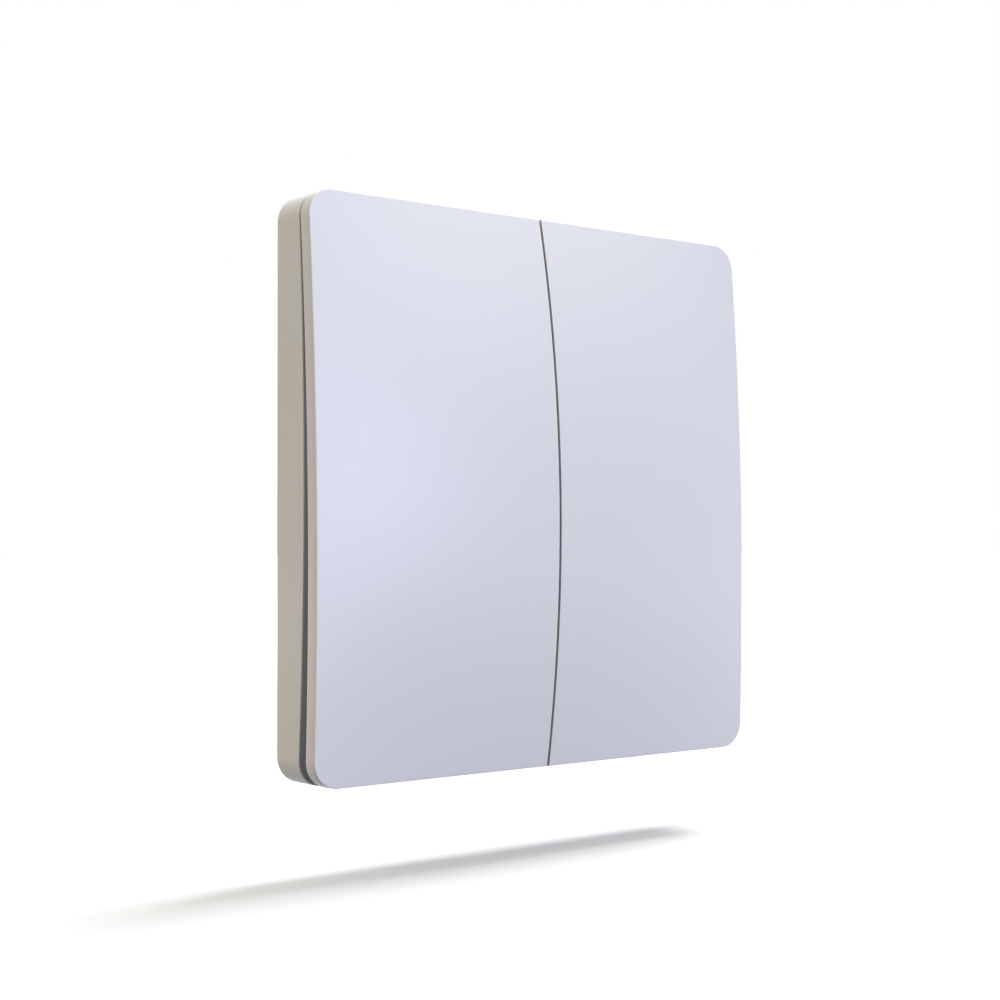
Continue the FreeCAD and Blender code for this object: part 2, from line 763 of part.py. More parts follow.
def leaded_package(x, z, width, height, thick, leads):
    """Small moulded package with bent leads above and below it."""
    body_back = board_front + lead_thick / 2
    front = board_front + thick
    pieces = [block(x - width / 2, x + width / 2, z - height / 2, z + height / 2, body_back, front)]
    pitch = width / leads
    for i in range(leads):
        centre = x + (i - (leads - 1) / 2) * pitch
        x0, x1 = centre - lead_width / 2, centre + lead_width / 2
        for side in (-1, 1):
            edge = z + side * height / 2
            knee = edge + side * lead_reach / 2
            toe = edge + side * lead_reach
            bend = knee - side * lead_thick
            lifted = board_front + lead_lift
            pieces.append(block(x0, x1, edge - side * lead_thick, knee, lifted, lifted + lead_thick))
            pieces.append(block(x0, x1, bend, knee, board_front, lifted + lead_thick))
            pieces.append(block(x0, x1, bend, toe, board_front, board_front + lead_thick))
    return join(pieces)


def radio_chip():
    """Leadless square package in the middle of the board."""
    half = chip_size / 2
    front = board_front + chip_thick
    return block(-half, half, board_middle - half, board_middle + half, board_front, front)


def crystal():
    """Metal-lidded crystal beside the radio chip."""
    x0 = chip_size / 2 + crystal_gap
    half = crystal_height / 2
    front = board_front + crystal_thick
    return block(x0, x0 + crystal_width, board_middle - half, board_middle + half, board_front, front)


def storage_capacitor():
    """Round can on a square base, which stores the energy of one press."""
    half = capacitor_base / 2
    x, z = capacitor_x, board_middle
    base = block(x - half, x + half, z - half, z + half, board_front, board_front + capacitor_base_thick)
    can = rod_in(capacitor_radius, x, z, board_front, board_front + capacitor_tall)
    return join([base, can])


def antenna():
    """Stamped strip on three legs along the top of the board."""
    z = board_top - antenna_inset
    left, right = -antenna_length / 2, antenna_length / 2
    back = board_front + antenna_leg
    pieces = [block(left, right, z, z + antenna_strip, back, back + antenna_depth)]
    leg_front = back + antenna_depth / 2
    for x in (left, left + antenna_feed, right - antenna_leg_width):
        pieces.append(block(x, x + antenna_leg_width, z, z + antenna_strip, board_front, leg_front))
    return join(pieces)


parts = {
    "wall_plate": wall_plate(),
    "housing": housing(),
    "tray": tray(),
    "circuit_board": circuit_board(),
    "radio_chip": radio_chip(),
    "crystal": crystal(),
    "storage_capacitor": storage_capacitor(),
    "antenna": antenna(),
}
parts["voltage_regulator"] = leaded_package(
    regulator_x, board_middle, regulator_width, regulator_height, regulator_thick, 3)
for name, x in generator_places():
    side = 1 if x > 0 else -1
    parts["rocker_" + name] = rocker(side)
    parts["rectifier_" + name] = leaded_package(
        side * rectifier_x, board_middle, rectifier_width, rectifier_height, rectifier_thick, 2)
    parts["generator_frame_" + name] = generator_frame(x)
    parts["bobbin_" + name] = bobbin(x)
    parts["coil_" + name] = coil(x)
    parts["coil_pins_" + name] = coil_pins(x)
    parts["core_" + name] = core(x)
    parts["yoke_" + name] = yoke(x)
    parts["magnet_" + name] = magnet(x)
    parts["front_pole_plate_" + name] = pole_plate(x, 1)
    parts["back_pole_plate_" + name] = pole_plate(x, -1)
    parts["magnet_holder_" + name] = magnet_holder(x)
    parts["lever_spring_" + name] = lever_spring(x)
    parts["lever_rivets_" + name] = lever_rivets(x)
    parts["return_spring_" + name] = return_spring(x)
    parts["stop_bumper_" + name] = stop_bumper(x)

os.makedirs("parts", exist_ok=True)
for name, shape in parts.items():
    shape.exportStep("parts/" + name + ".step")
    print(name, shape.isValid(), len(shape.Solids), round(shape.Volume, 3))
print("holder turns by", round(math.degrees(holder_travel), 4), "degrees about depth", round(axis_depth, 3),
      "height", round(pivot_z, 3))
print("rocker hinge height", round(hinge_z, 3), "push height", round(push_z, 3))
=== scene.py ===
import math

import bmesh
import bpy
from mathutils import Matrix, Vector


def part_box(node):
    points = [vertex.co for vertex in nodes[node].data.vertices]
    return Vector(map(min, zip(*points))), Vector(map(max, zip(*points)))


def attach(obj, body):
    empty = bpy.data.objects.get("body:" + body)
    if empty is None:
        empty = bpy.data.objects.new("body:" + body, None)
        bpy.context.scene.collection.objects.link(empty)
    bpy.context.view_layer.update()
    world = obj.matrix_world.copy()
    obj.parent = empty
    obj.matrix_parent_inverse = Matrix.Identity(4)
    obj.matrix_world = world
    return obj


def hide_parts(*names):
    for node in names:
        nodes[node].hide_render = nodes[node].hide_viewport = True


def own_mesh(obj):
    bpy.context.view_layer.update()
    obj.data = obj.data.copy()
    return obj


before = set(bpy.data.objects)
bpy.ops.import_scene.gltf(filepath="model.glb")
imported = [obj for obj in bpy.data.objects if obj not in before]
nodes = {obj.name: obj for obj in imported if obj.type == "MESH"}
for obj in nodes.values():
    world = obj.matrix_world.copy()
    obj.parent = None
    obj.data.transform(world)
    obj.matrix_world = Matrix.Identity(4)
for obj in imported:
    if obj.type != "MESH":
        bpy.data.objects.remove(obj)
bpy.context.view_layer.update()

# Back plate.
# A flat moulding in pale grey plastic that is screwed to the wall box through two slots.
# The fine grain comes from the spark-eroded mould, and the edges are broken by a hair.
mm = 0.001
merge_distance = 0.0005 * mm
flat_angle = math.radians(0.5)
bevel_angle = math.radians(35)
sharp_angle = math.radians(50)
area_weight = 100
edge_radius = 0.12 * mm
flow_scale = 28.0
touch_scale = 160.0
flow_share = 0.75
touch_gloss = 0.06


def shader_group(name, inputs, outputs):
    """Empty shader group with its sockets, and the nodes at its two ends."""
    group = bpy.data.node_groups.new(name, "ShaderNodeTree")
    for label, kind, value in inputs:
        socket = group.interface.new_socket(name=label, in_out="INPUT", socket_type=kind)
        if value is not None:
            socket.default_value = value
    for label, kind in outputs:
        group.interface.new_socket(name=label, in_out="OUTPUT", socket_type=kind)
    return group, group.nodes.new("NodeGroupInput"), group.nodes.new("NodeGroupOutput")


def add_noise(tree, vector, scale, detail, blur=0.5):
    """Noise node whose value runs from 0 to 1."""
    node = tree.nodes.new("ShaderNodeTexNoise")
    node.inputs["Detail"].default_value = detail
    node.inputs["Roughness"].default_value = blur
    tree.links.new(vector, node.inputs["Vector"])
    if isinstance(scale, float):
        node.inputs["Scale"].default_value = scale
    else:
        tree.links.new(scale, node.inputs["Scale"])
    return node.outputs["Fac"]


def add_math(tree, kind, a, b=None, c=None):
    """Math node of two or three values, each a number or a socket."""
    node = tree.nodes.new("ShaderNodeMath")
    node.operation = kind
    for i, value in enumerate((a, b, c)):
        if value is None:
            continue
        if isinstance(value, (int, float)):
            node.inputs[i].default_value = value
        else:
            tree.links.new(value, node.inputs[i])
    return node.outputs[0]


def add_mix(tree, share, first, second):
    """Colour mixed between two others by a share from 0 to 1."""
    node = tree.nodes.new("ShaderNodeMix")
    node.data_type = "RGBA"
    for i, value in ((0, share), (6, first), (7, second)):
        if isinstance(value, bpy.types.NodeSocket):
            tree.links.new(value, node.inputs[i])
        elif i == 0:
            node.inputs[i].default_value = value
        else:
            node.inputs[i].default_value = (*value, 1)
    return node.outputs[2]


# moulded surface: slow change of tone, fine grain and faint handling marks
moulded, start, end = shader_group(
    "Moulded surface",
    [("Position", "NodeSocketVector", None), ("Light Colour", "NodeSocketColor", (1, 1, 1, 1)),
     ("Dark Colour", "NodeSocketColor", (1, 1, 1, 1)), ("Roughness", "NodeSocketFloat", 0.4),
     ("Grain Size", "NodeSocketFloat", 0.0002), ("Grain Gloss", "NodeSocketFloat", 0.04)],
    [("Color", "NodeSocketColor"), ("Roughness", "NodeSocketFloat"), ("Height", "NodeSocketFloat")])
fine = add_math(moulded, "DIVIDE", 1.0, start.outputs["Grain Size"])
grain = add_noise(moulded, start.outputs["Position"], fine, 3.0, 0.6)
flow = add_noise(moulded, start.outputs["Position"], flow_scale, 2.0)
touch = add_noise(moulded, start.outputs["Position"], touch_scale, 4.0, 0.65)
flow_part = add_math(moulded, "MULTIPLY", flow, flow_share)
grain_part = add_math(moulded, "MULTIPLY", grain, 1 - flow_share)
tone = add_math(moulded, "ADD", flow_part, grain_part)
wear = add_math(moulded, "SUBTRACT", touch, 0.5)
gloss = add_math(moulded, "MULTIPLY_ADD", wear, touch_gloss, start.outputs["Roughness"])
shine = add_math(moulded, "SUBTRACT", grain, 0.5)
gloss = add_math(moulded, "MULTIPLY_ADD", shine, start.outputs["Grain Gloss"], gloss)
colour = add_mix(moulded, tone, start.outputs["Dark Colour"], start.outputs["Light Colour"])
moulded.links.new(colour, end.inputs["Color"])
moulded.links.new(gloss, end.inputs["Roughness"])
moulded.links.new(grain, end.inputs["Height"])


def new_material(name, **shader_values):
    """Material with its own Principled shader, whose plain values are set on its own sockets."""
    material = bpy.data.materials.new(name)
    material.use_nodes = True
    shader = material.node_tree.nodes["Principled BSDF"]
    for label, value in shader_values.items():
        shader.inputs[label.replace("_", " ")].default_value = value
    place = material.node_tree.nodes.new("ShaderNodeTexCoord").outputs["Object"]
    return material, material.node_tree, shader, place


def add_bump(tree, shader, height, depth):
    """Relief of a given depth in metres from a height that runs from 0 to 1."""
    bump = tree.nodes.new("ShaderNodeBump")
    bump.inputs["Distance"].default_value = depth
    tree.links.new(height, bump.inputs["Height"])
    tree.links.new(bump.outputs["Normal"], shader.inputs["Normal"])


def moulded_surface(tree, place, light, dark, roughness, grain_size, grain_gloss):
    """Outputs of a node of the moulded surface group."""
    surface = tree.nodes.new("ShaderNodeGroup")
    surface.node_tree = moulded
    tree.links.new(place, surface.inputs["Position"])
    surface.inputs["Light Colour"].default_value = (*light, 1)
    surface.inputs["Dark Colour"].default_value = (*dark, 1)
    surface.inputs["Roughness"].default_value = roughness
    surface.inputs["Grain Size"].default_value = grain_size
    surface.inputs["Grain Gloss"].default_value = grain_gloss
    return surface.outputs


def plastic(name, light, dark, roughness, grain_size, grain_depth, grain_gloss=0.04, painted_shade=None,
            **shader_values):
    """Moulded plastic between two close tones, with a darker tone of painted shade where a mask finds it.
    """
    material, tree, shader, place = new_material(name, **shader_values)
    surface = moulded_surface(tree, place, light, dark, roughness, grain_size, grain_gloss)
    tone = surface["Color"]
    # painted shade: a mask and a darker tone stand for the shadow in a narrow gap
    if painted_shade:
        axes = tree.nodes.new("ShaderNodeSeparateXYZ")
        tree.links.new(place, axes.inputs[0])
        mask_of, painted_shade_tone = painted_shade
        tone = add_mix(tree, mask_of(tree, axes.outputs), tone, painted_shade_tone)
    tree.links.new(tone, shader.inputs["Base Color"])
    tree.links.new(surface["Roughness"], shader.inputs["Roughness"])
    add_bump(tree, shader, surface["Height"], grain_depth)
    return material


def linked(name, mesh):
    """New object in the scene with a mesh or other data."""
    piece = bpy.data.objects.new(name, mesh)
    bpy.context.scene.collection.objects.link(piece)
    return piece


def bake_modifiers(piece):
    """The piece's mesh as its modifiers leave it, and the modifiers removed."""
    finished = piece.evaluated_get(bpy.context.evaluated_depsgraph_get())
    piece.data = bpy.data.meshes.new_from_object(finished)
    piece.modifiers.clear()


def softened_copy(node, name, radius, material):
    """The CAD node's own shape as one merged mesh, its sharp edges rounded to a small radius."""
    mesh = nodes[node].data.copy()
    mesh.name = name
    work = bmesh.new()
    work.from_mesh(mesh)
    bmesh.ops.remove_doubles(work, verts=work.verts, dist=merge_distance)
    bmesh.ops.dissolve_limit(work, angle_limit=flat_angle, verts=work.verts, edges=work.edges)
    work.to_mesh(mesh)
    work.free()
    piece = linked(name, mesh)
    mesh.materials.clear()
    mesh.materials.append(material)
    bevel = piece.modifiers.new("edge radius", "BEVEL")
    bevel.width = radius
    bevel.segments = 2
    bevel.limit_method = "ANGLE"
    bevel.angle_limit = bevel_angle
    bevel.miter_outer = "MITER_ARC"
    bevel.use_clamp_overlap = True
    bake_modifiers(piece)
    piece.data.shade_smooth()
    piece.data.set_sharp_from_angle(angle=sharp_angle)
    weighted = piece.modifiers.new("flat faces stay flat", "WEIGHTED_NORMAL")
    weighted.mode = "FACE_AREA"
    weighted.weight = area_weight
    weighted.keep_sharp = True
    bake_modifiers(piece)
    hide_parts(node)
    return piece


plate_light = (0.54, 0.54, 0.52)
plate_dark = (0.50, 0.50, 0.48)
plate_plastic = plastic("back plate plastic", plate_light, plate_dark, 0.5, 0.35 * mm, 0.012 * mm)
back_plate = softened_copy("wall_plate", "back_plate", edge_radius, plate_plastic)
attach(back_plate, "base")

# Housing.
# The outer ring, moulded in white plastic with a rim that bows out towards the middle of each side.
# It snaps over four noses of the back plate, and its front edge in the gap gets a blue-grey painted
# shade.
white_light = (0.735, 0.735, 0.76)
white_dark = (0.715, 0.715, 0.74)
# painted shade: a cool grey tone on the ring's front edge stands for the shadow under the rocker's lip
gap_shade_tone = (0.43, 0.46, 0.57)
face_half = 43.0
corner_radius = 4.0
gap_inset = 0.2
gap_depth = 5.0


def gap_shade_mask(tree, axes):
    """One on the ring's front edge, a hair inside its outline, where the painted shade goes."""
    beyond = []
    for axis in "XZ":
        reach = add_math(tree, "ABSOLUTE", axes[axis])
        past = add_math(tree, "SUBTRACT", reach, (face_half - corner_radius) * mm)
        beyond.append(add_math(tree, "POWER", add_math(tree, "MAXIMUM", past, 0.0), 2.0))
    away = add_math(tree, "SQRT", add_math(tree, "ADD", beyond[0], beyond[1]))
    inside = add_math(tree, "LESS_THAN", away, (corner_radius - gap_inset) * mm)
    in_front = add_math(tree, "LESS_THAN", axes["Y"], -gap_depth * mm)
    return add_math(tree, "MULTIPLY", inside, in_front)


white = (white_light, white_dark, 0.31, 0.12 * mm, 0.0015 * mm, 0.02)
# the ring's front edge in the gap gets the painted shade
switch_plastic = plastic("switch plastic", *white, painted_shade=(gap_shade_mask, gap_shade_tone))
housing = softened_copy("housing", "housing_ring", edge_radius, switch_plastic)
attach(housing, "base")

# Tray.
# The inner moulding in cool grey plastic, welded into the white ring behind the gap.
# It carries everything inside: its posts hold the rockers and its pegs are melted over the board.
grey_light = (0.36, 0.38, 0.44)
grey_dark = (0.33, 0.35, 0.41)
fine_edge = 0.06 * mm
tray_plastic = plastic("tray plastic", grey_light, grey_dark, 0.5, 0.3 * mm, 0.006 * mm, 0.08)
tray = softened_copy("tray", "inner_tray", fine_edge, tray_plastic)
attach(tray, "base")

# Generator frames.
# A black carrier of glass-filled nylon for each generator, held by four melted pegs of the tray.
# Its two cheeks are the bearings of the magnet holder and its two clips grip the iron yoke.
sides = ("left", "right")
nylon_light = (0.036, 0.036, 0.040)
nylon_dark = (0.022, 0.022, 0.025)
dark_plastic = plastic("glass-filled nylon", nylon_light, nylon_dark, 0.46, 0.25 * mm, 0.008 * mm, 0.12)
for side in sides:
    node, name = "generator_frame_" + side, "generator_carrier_" + side
    carrier = softened_copy(node, name, fine_edge, dark_plastic)
    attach(carrier, "base")

# Bobbins and coils.
# A spool of natural plastic, wound with a single fine enamelled copper wire, layer over layer.
# The wire's two ends are wrapped round the terminal pins, which are soldered to the board.
natural_light = (0.60, 0.55, 0.42)
natural_dark = (0.54, 0.49, 0.36)
natural_plastic = plastic("natural plastic", natural_light, natural_dark, 0.4, 0.3 * mm, 0.004 * mm, 0.06)
wire_radius = 0.13 * mm
wire_pitch = 0.25 * mm
layer_corner = 1.15 * mm
wrap_turns = 5
wrap_pitch = 0.15 * mm
wrap_step = 10
pin_half = 0.25 * mm
end_radius = 0.06 * mm
cloud_scale = 350.0
cloud_gloss = 0.12

# worked metal: streaks along the rolling or drawing direction and a slow change of tone
worked, start, end = shader_group(
    "Worked metal",
    [("Position", "NodeSocketVector", None), ("Streaks", "NodeSocketVector", None),
     ("Light Colour", "NodeSocketColor", (1, 1, 1, 1)), ("Dark Colour", "NodeSocketColor", (1, 1, 1, 1)),
     ("Roughness", "NodeSocketFloat", 0.3), ("Streak Gloss", "NodeSocketFloat", 0.1)],
    [("Color", "NodeSocketColor"), ("Roughness", "NodeSocketFloat"), ("Height", "NodeSocketFloat")])
streak = add_noise(worked, start.outputs["Streaks"], 1.0, 4.0, 0.6)
cloud = add_noise(worked, start.outputs["Position"], cloud_scale, 3.0)
cloud_part = add_math(worked, "MULTIPLY", cloud, 0.5)
streak_part = add_math(worked, "MULTIPLY", streak, 0.5)
tone = add_math(worked, "ADD", cloud_part, streak_part)
gloss = add_math(worked, "SUBTRACT", streak, 0.5)
gloss = add_math(worked, "MULTIPLY_ADD", gloss, start.outputs["Streak Gloss"], start.outputs["Roughness"])
haze = add_math(worked, "SUBTRACT", cloud, 0.5)
gloss = add_math(worked, "MULTIPLY_ADD", haze, cloud_gloss, gloss)
colour = add_mix(worked, tone, start.outputs["Dark Colour"], start.outputs["Light Colour"])
worked.links.new(colour, end.inputs["Color"])
worked.links.new(gloss, end.inputs["Roughness"])
worked.links.new(streak, end.inputs["Height"])


def worked_surface(tree, place, light, dark, roughness, streaks, streak_gloss):
    """Outputs of a node of the worked metal group, with its streaks a metre along X, Y and Z."""
    stretch = tree.nodes.new("ShaderNodeMapping")
    stretch.inputs["Scale"].default_value = streaks
    tree.links.new(place, stretch.inputs["Vector"])
    surface = tree.nodes.new("ShaderNodeGroup")
    surface.node_tree = worked
    tree.links.new(place, surface.inputs["Position"])
    tree.links.new(stretch.outputs["Vector"], surface.inputs["Streaks"])
    surface.inputs["Light Colour"].default_value = (*light, 1)
    surface.inputs["Dark Colour"].default_value = (*dark, 1)
    surface.inputs["Roughness"].default_value = roughness
    surface.inputs["Streak Gloss"].default_value = streak_gloss
    return surface.outputs


def metal(name, light, dark, roughness, streaks, depth, streak_gloss=0.12, **shader_values):
    """Bare or plated metal between two close tones."""
    material, tree, shader, place = new_material(name, Metallic=1.0, **shader_values)
    surface = worked_surface(tree, place, light, dark, roughness, streaks, streak_gloss)
    tree.links.new(surface["Color"], shader.inputs["Base Color"])
    tree.links.new(surface["Roughness"], shader.inputs["Roughness"])
    add_bump(tree, shader, surface["Height"], depth)
    return material


def geometry_tree(name, inputs):
    """Geometry tree that takes a mesh and named values, with the nodes at its two ends."""
    tree = bpy.data.node_groups.new(name, "GeometryNodeTree")
    tree.interface.new_socket(name="Geometry", in_out="INPUT", socket_type="NodeSocketGeometry")
    for label, kind in inputs:
        tree.interface.new_socket(name=label, in_out="INPUT", socket_type=kind)
    tree.interface.new_socket(name="Geometry", in_out="OUTPUT", socket_type="NodeSocketGeometry")
    return tree, tree.nodes.new("NodeGroupInput"), tree.nodes.new("NodeGroupOutput")


def grown(name, tree, mesh, values):
    """Plain mesh piece that a geometry tree makes from a mesh and named values."""
    piece = linked(name, mesh)
    growth = piece.modifiers.new(name, "NODES")
    growth.node_group = tree
    for item in tree.interface.items_tree:
        if item.in_out == "INPUT" and item.name in values:
            growth[item.identifier] = values[item.name]
    bake_modifiers(piece)
    piece.data.name = name
    return piece


def add_round_wire(tree, line, radius):
    """Thin round wire of six sides along a curve."""
    section = tree.nodes.new("GeometryNodeCurvePrimitiveCircle")
    section.inputs["Resolution"].default_value = 6
    tree.links.new(radius, section.inputs["Radius"])
    sweep = tree.nodes.new("GeometryNodeCurveToMesh")
    sweep.inputs["Fill Caps"].default_value = True
    tree.links.new(line, sweep.inputs["Curve"])
    tree.links.new(section.outputs["Curve"], sweep.inputs["Profile Curve"])
    return sweep.outputs["Mesh"]


def finish_tree(tree, shapes, material, end, smooth=True):
    """Join the shapes, make them real and give them their material."""
    joined = tree.nodes.new("GeometryNodeJoinGeometry")
    for shape in shapes:
        tree.links.new(shape, joined.inputs["Geometry"])
    shade = tree.nodes.new("GeometryNodeSetShadeSmooth")
    shade.inputs["Shade Smooth"].default_value = smooth
    tree.links.new(joined.outputs["Geometry"], shade.inputs["Geometry"])
    real = tree.nodes.new("GeometryNodeRealizeInstances")
    tree.links.new(shade.outputs["Geometry"], real.inputs["Geometry"])
    paint = tree.nodes.new("GeometryNodeSetMaterial")
    tree.links.new(real.outputs["Geometry"], paint.inputs["Geometry"])
    tree.links.new(material, paint.inputs["Material"])
    tree.links.new(paint.outputs["Geometry"], end.inputs["Geometry"])


winding, start, end = geometry_tree("Outer layer of a winding", [
    ("Width", "NodeSocketFloat"), ("Depth", "NodeSocketFloat"), ("Corner", "NodeSocketFloat"),
    ("Wire Radius", "NodeSocketFloat"), ("Turns", "NodeSocketInt"), ("First Turn", "NodeSocketVector"),
    ("Step", "NodeSocketVector"), ("Material", "NodeSocketMaterial")])
turn_line = winding.nodes.new("GeometryNodeCurvePrimitiveQuadrilateral")
winding.links.new(start.outputs["Width"], turn_line.inputs["Width"])
winding.links.new(start.outputs["Depth"], turn_line.inputs["Height"])
rounded = winding.nodes.new("GeometryNodeFilletCurve")
rounded.mode = "POLY"
rounded.inputs["Count"].default_value = 4
winding.links.new(turn_line.outputs["Curve"], rounded.inputs["Curve"])
winding.links.new(start.outputs["Corner"], rounded.inputs["Radius"])
turn = add_round_wire(winding, rounded.outputs["Curve"], start.outputs["Wire Radius"])
places = winding.nodes.new("GeometryNodeMeshLine")
winding.links.new(start.outputs["Turns"], places.inputs["Count"])
winding.links.new(start.outputs["First Turn"], places.inputs["Start Location"])
winding.links.new(start.outputs["Step"], places.inputs["Offset"])
slack = winding.nodes.new("FunctionNodeRandomValue")
slack.data_type = "FLOAT_VECTOR"
slack.inputs["Min"].default_value = (0.996, 0.99, 1.0)
slack.inputs["Max"].default_value = (1.0, 1.0, 1.0)
slack.inputs["Seed"].default_value = 4
layer = winding.nodes.new("GeometryNodeInstanceOnPoints")
winding.links.new(places.outputs["Mesh"], layer.inputs["Points"])
winding.links.new(turn, layer.inputs["Instance"])
winding.links.new(slack.outputs["Value"], layer.inputs["Scale"])
shapes = (start.outputs["Geometry"], layer.outputs["Instances"])
finish_tree(winding, shapes, start.outputs["Material"], end)


def add_tube(work, points, radius, count=6):
    """Closed round wire along points, in a mesh that is being made."""
    rings = []
    for i, point in enumerate(points):
        along = (points[min(i + 1, len(points) - 1)] - points[max(i - 1, 0)]).normalized()
        first = along.orthogonal() if i == 0 else first - along * first.dot(along)
        first.normalize()
        second = along.cross(first)
        ring = []
        for j in range(count):
            angle = 2 * math.pi * j / count
            offset = radius * (math.cos(angle) * first + math.sin(angle) * second)
            ring.append(work.verts.new(point + offset))
        rings.append(ring)
    for low, high in zip(rings, rings[1:]):
        for j in range(count):
            work.faces.new((low[j], low[(j + 1) % count], high[(j + 1) % count], high[j]))
    work.faces.new(list(reversed(rings[0])))
    work.faces.new(rings[-1])


def merged_copy(work, node):
    """Add a CAD node's shape to a mesh that is being made, its doubled points merged."""
    work.from_mesh(nodes[node].data)
    bmesh.ops.remove_doubles(work, verts=work.verts, dist=merge_distance)


copper = metal("enamelled copper", (0.62, 0.22, 0.07), (0.42, 0.12, 0.03), 0.28,
               (900.0, 900.0, 9000.0), 0.01 * mm, Coat_Weight=0.6, Coat_Roughness=0.12)
tinned = metal("bright tin", (0.66, 0.65, 0.61), (0.50, 0.49, 0.46), 0.26,
               (2500.0, 2500.0, 400.0), 0.003 * mm)


def dress(node, material):
    """Give a CAD node its finish."""
    nodes[node].material_slots[0].material = material


for side in sides:
    name = "bobbin_spool_" + side
    spool = softened_copy("bobbin_" + side, name, fine_edge, natural_plastic)
    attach(spool, "base")
    low, high = (Vector(corner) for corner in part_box("coil_" + side))
    pins_low, pins_high = (Vector(corner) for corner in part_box("coil_pins_" + side))
    pin_y = (pins_low.y + pins_high.y) / 2
    flange_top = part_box("bobbin_" + side)[1][2]
    middle = (low + high) / 2
    work = bmesh.new()
    merged_copy(work, "coil_" + side)
    for pin_side in (-1, 1):
        pin_x = (pins_low.x if pin_side < 0 else pins_high.x) - pin_side * pin_half
        # from the winding over the flange, then round the pin
        line = [
            Vector((pin_x + 1.4 * mm * pin_side, high.y - 0.1 * mm, high.z - 0.2 * mm)),
            Vector((pin_x + 1.1 * mm * pin_side, high.y + 0.42 * mm, high.z + 0.4 * mm)),
            Vector((pin_x + 0.8 * mm * pin_side, pin_y, flange_top + 0.08 * mm))]
        reach = pin_half + end_radius
        for i in range(wrap_turns * wrap_step + 1):
            angle = 2 * math.pi * i / wrap_step
            z = flange_top + 0.1 * mm + wrap_pitch * i / wrap_step
            line.append(Vector((pin_x + reach * math.cos(angle), pin_y + reach * math.sin(angle), z)))
        add_tube(work, line, end_radius)
    mesh = bpy.data.meshes.new("coil_winding_" + side)
    work.to_mesh(mesh)
    work.free()
    coil = grown("coil_winding_" + side, winding, mesh, {
        "Width": high.x - low.x - wire_radius, "Depth": high.y - low.y - wire_radius,
        "Corner": layer_corner, "Wire Radius": wire_radius,
        "Turns": int((high.z - low.z - 2 * wire_radius) / wire_pitch) + 1,
        "First Turn": (middle.x, middle.y, low.z + wire_radius), "Step": (0.0, 0.0, wire_pitch),
        "Material": copper})
    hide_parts("coil_" + side)
    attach(coil, "base")
    dress("coil_pins_" + side, tinned)

# Iron circuits.
# The core is a flat tongue pushed through the bobbin and the yoke is a strip folded round the coil.
# Both are stamped from soft iron and zinc-plated, and the yoke's two jaws reach the pole plates.
soft_iron = metal("zinc-plated iron", (0.46, 0.46, 0.48), (0.31, 0.32, 0.35), 0.36,
                  (3000.0, 3000.0, 220.0), 0.004 * mm)
for side in sides:
    dress("core_" + side, soft_iron)
    dress("yoke_" + side, soft_iron)

# Magnet holders.
# A black rocking frame clamps the magnet between two iron pole plates and turns on two trunnions.
# The spring-steel lever that the rocker presses is fixed to it with two brass rivets.
nickel = metal("nickel-plated magnet", (0.68, 0.67, 0.64), (0.55, 0.54, 0.51), 0.16,
               (700.0, 700.0, 700.0), 0.002 * mm)
spring_steel = metal("rolled spring steel", (0.44, 0.45, 0.47), (0.30, 0.31, 0.34), 0.24,
                     (6000.0, 6000.0, 150.0), 0.002 * mm)
brass = metal("rivet brass", (0.80, 0.58, 0.25), (0.62, 0.42, 0.15), 0.25,
              (2500.0, 400.0, 2500.0), 0.002 * mm)
for side in sides:
    node, name = "magnet_holder_" + side, "magnet_cradle_" + side
    holder = softened_copy(node, name, fine_edge, dark_plastic)
    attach(holder, "holder_" + side)
    dress("magnet_" + side, nickel)
    dress("front_pole_plate_" + side, soft_iron)
    dress("back_pole_plate_" + side, soft_iron)
    dress("lever_spring_" + side, spring_steel)
    dress("lever_rivets_" + side, brass)

# Return springs and bumpers.
# A coil spring round a peg of the tray pushes each lever back, with its end turns closed.
# A soft pad glued to the tray's floor stops the magnet holder without a click of its own.
spring_radius = 1.7 * mm
spring_wire_radius = 0.25 * mm
closed_share = 0.12
closed_rise = 0.06
lever_thick = 0.2 * mm
spring_turns = 6.0
spring_step = 20
spring_sides = 12
silicone = plastic("silicone", (0.33, 0.33, 0.35), (0.29, 0.29, 0.31), 0.62, 0.4 * mm, 0.004 * mm, 0.1,
                   Subsurface_Weight=0.15, Subsurface_Scale=0.001)
for side in sides:
    low, high = (Vector(corner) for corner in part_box("return_spring_" + side))
    middle = (low + high) / 2
    foot, head = high.y - spring_wire_radius, low.y + spring_wire_radius + lever_thick
    points = []
    for i in range(int(spring_turns * spring_step) + 1):
        share = i / (spring_turns * spring_step)
        open_share = min(max((share - closed_share) / (1 - 2 * closed_share), 0), 1)
        rise = foot + (head - foot) * (closed_rise * share + (1 - closed_rise) * open_share)
        angle = 2 * math.pi * spring_turns * share
        across = middle.x + spring_radius * math.cos(angle)
        points.append(Vector((across, rise, middle.z + spring_radius * math.sin(angle))))
    work = bmesh.new()
    add_tube(work, points, spring_wire_radius, spring_sides)
    mesh = bpy.data.meshes.new("return_coil_" + side)
    bmesh.ops.recalc_face_normals(work, faces=work.faces)
    work.to_mesh(mesh)
    work.free()
    mesh.materials.append(spring_steel)
    mesh.shade_smooth()
    spring = linked("return_coil_" + side, mesh)
    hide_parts("return_spring_" + side)
    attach(spring, "base")
    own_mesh(spring)
    dress("stop_bumper_" + side, silicone)

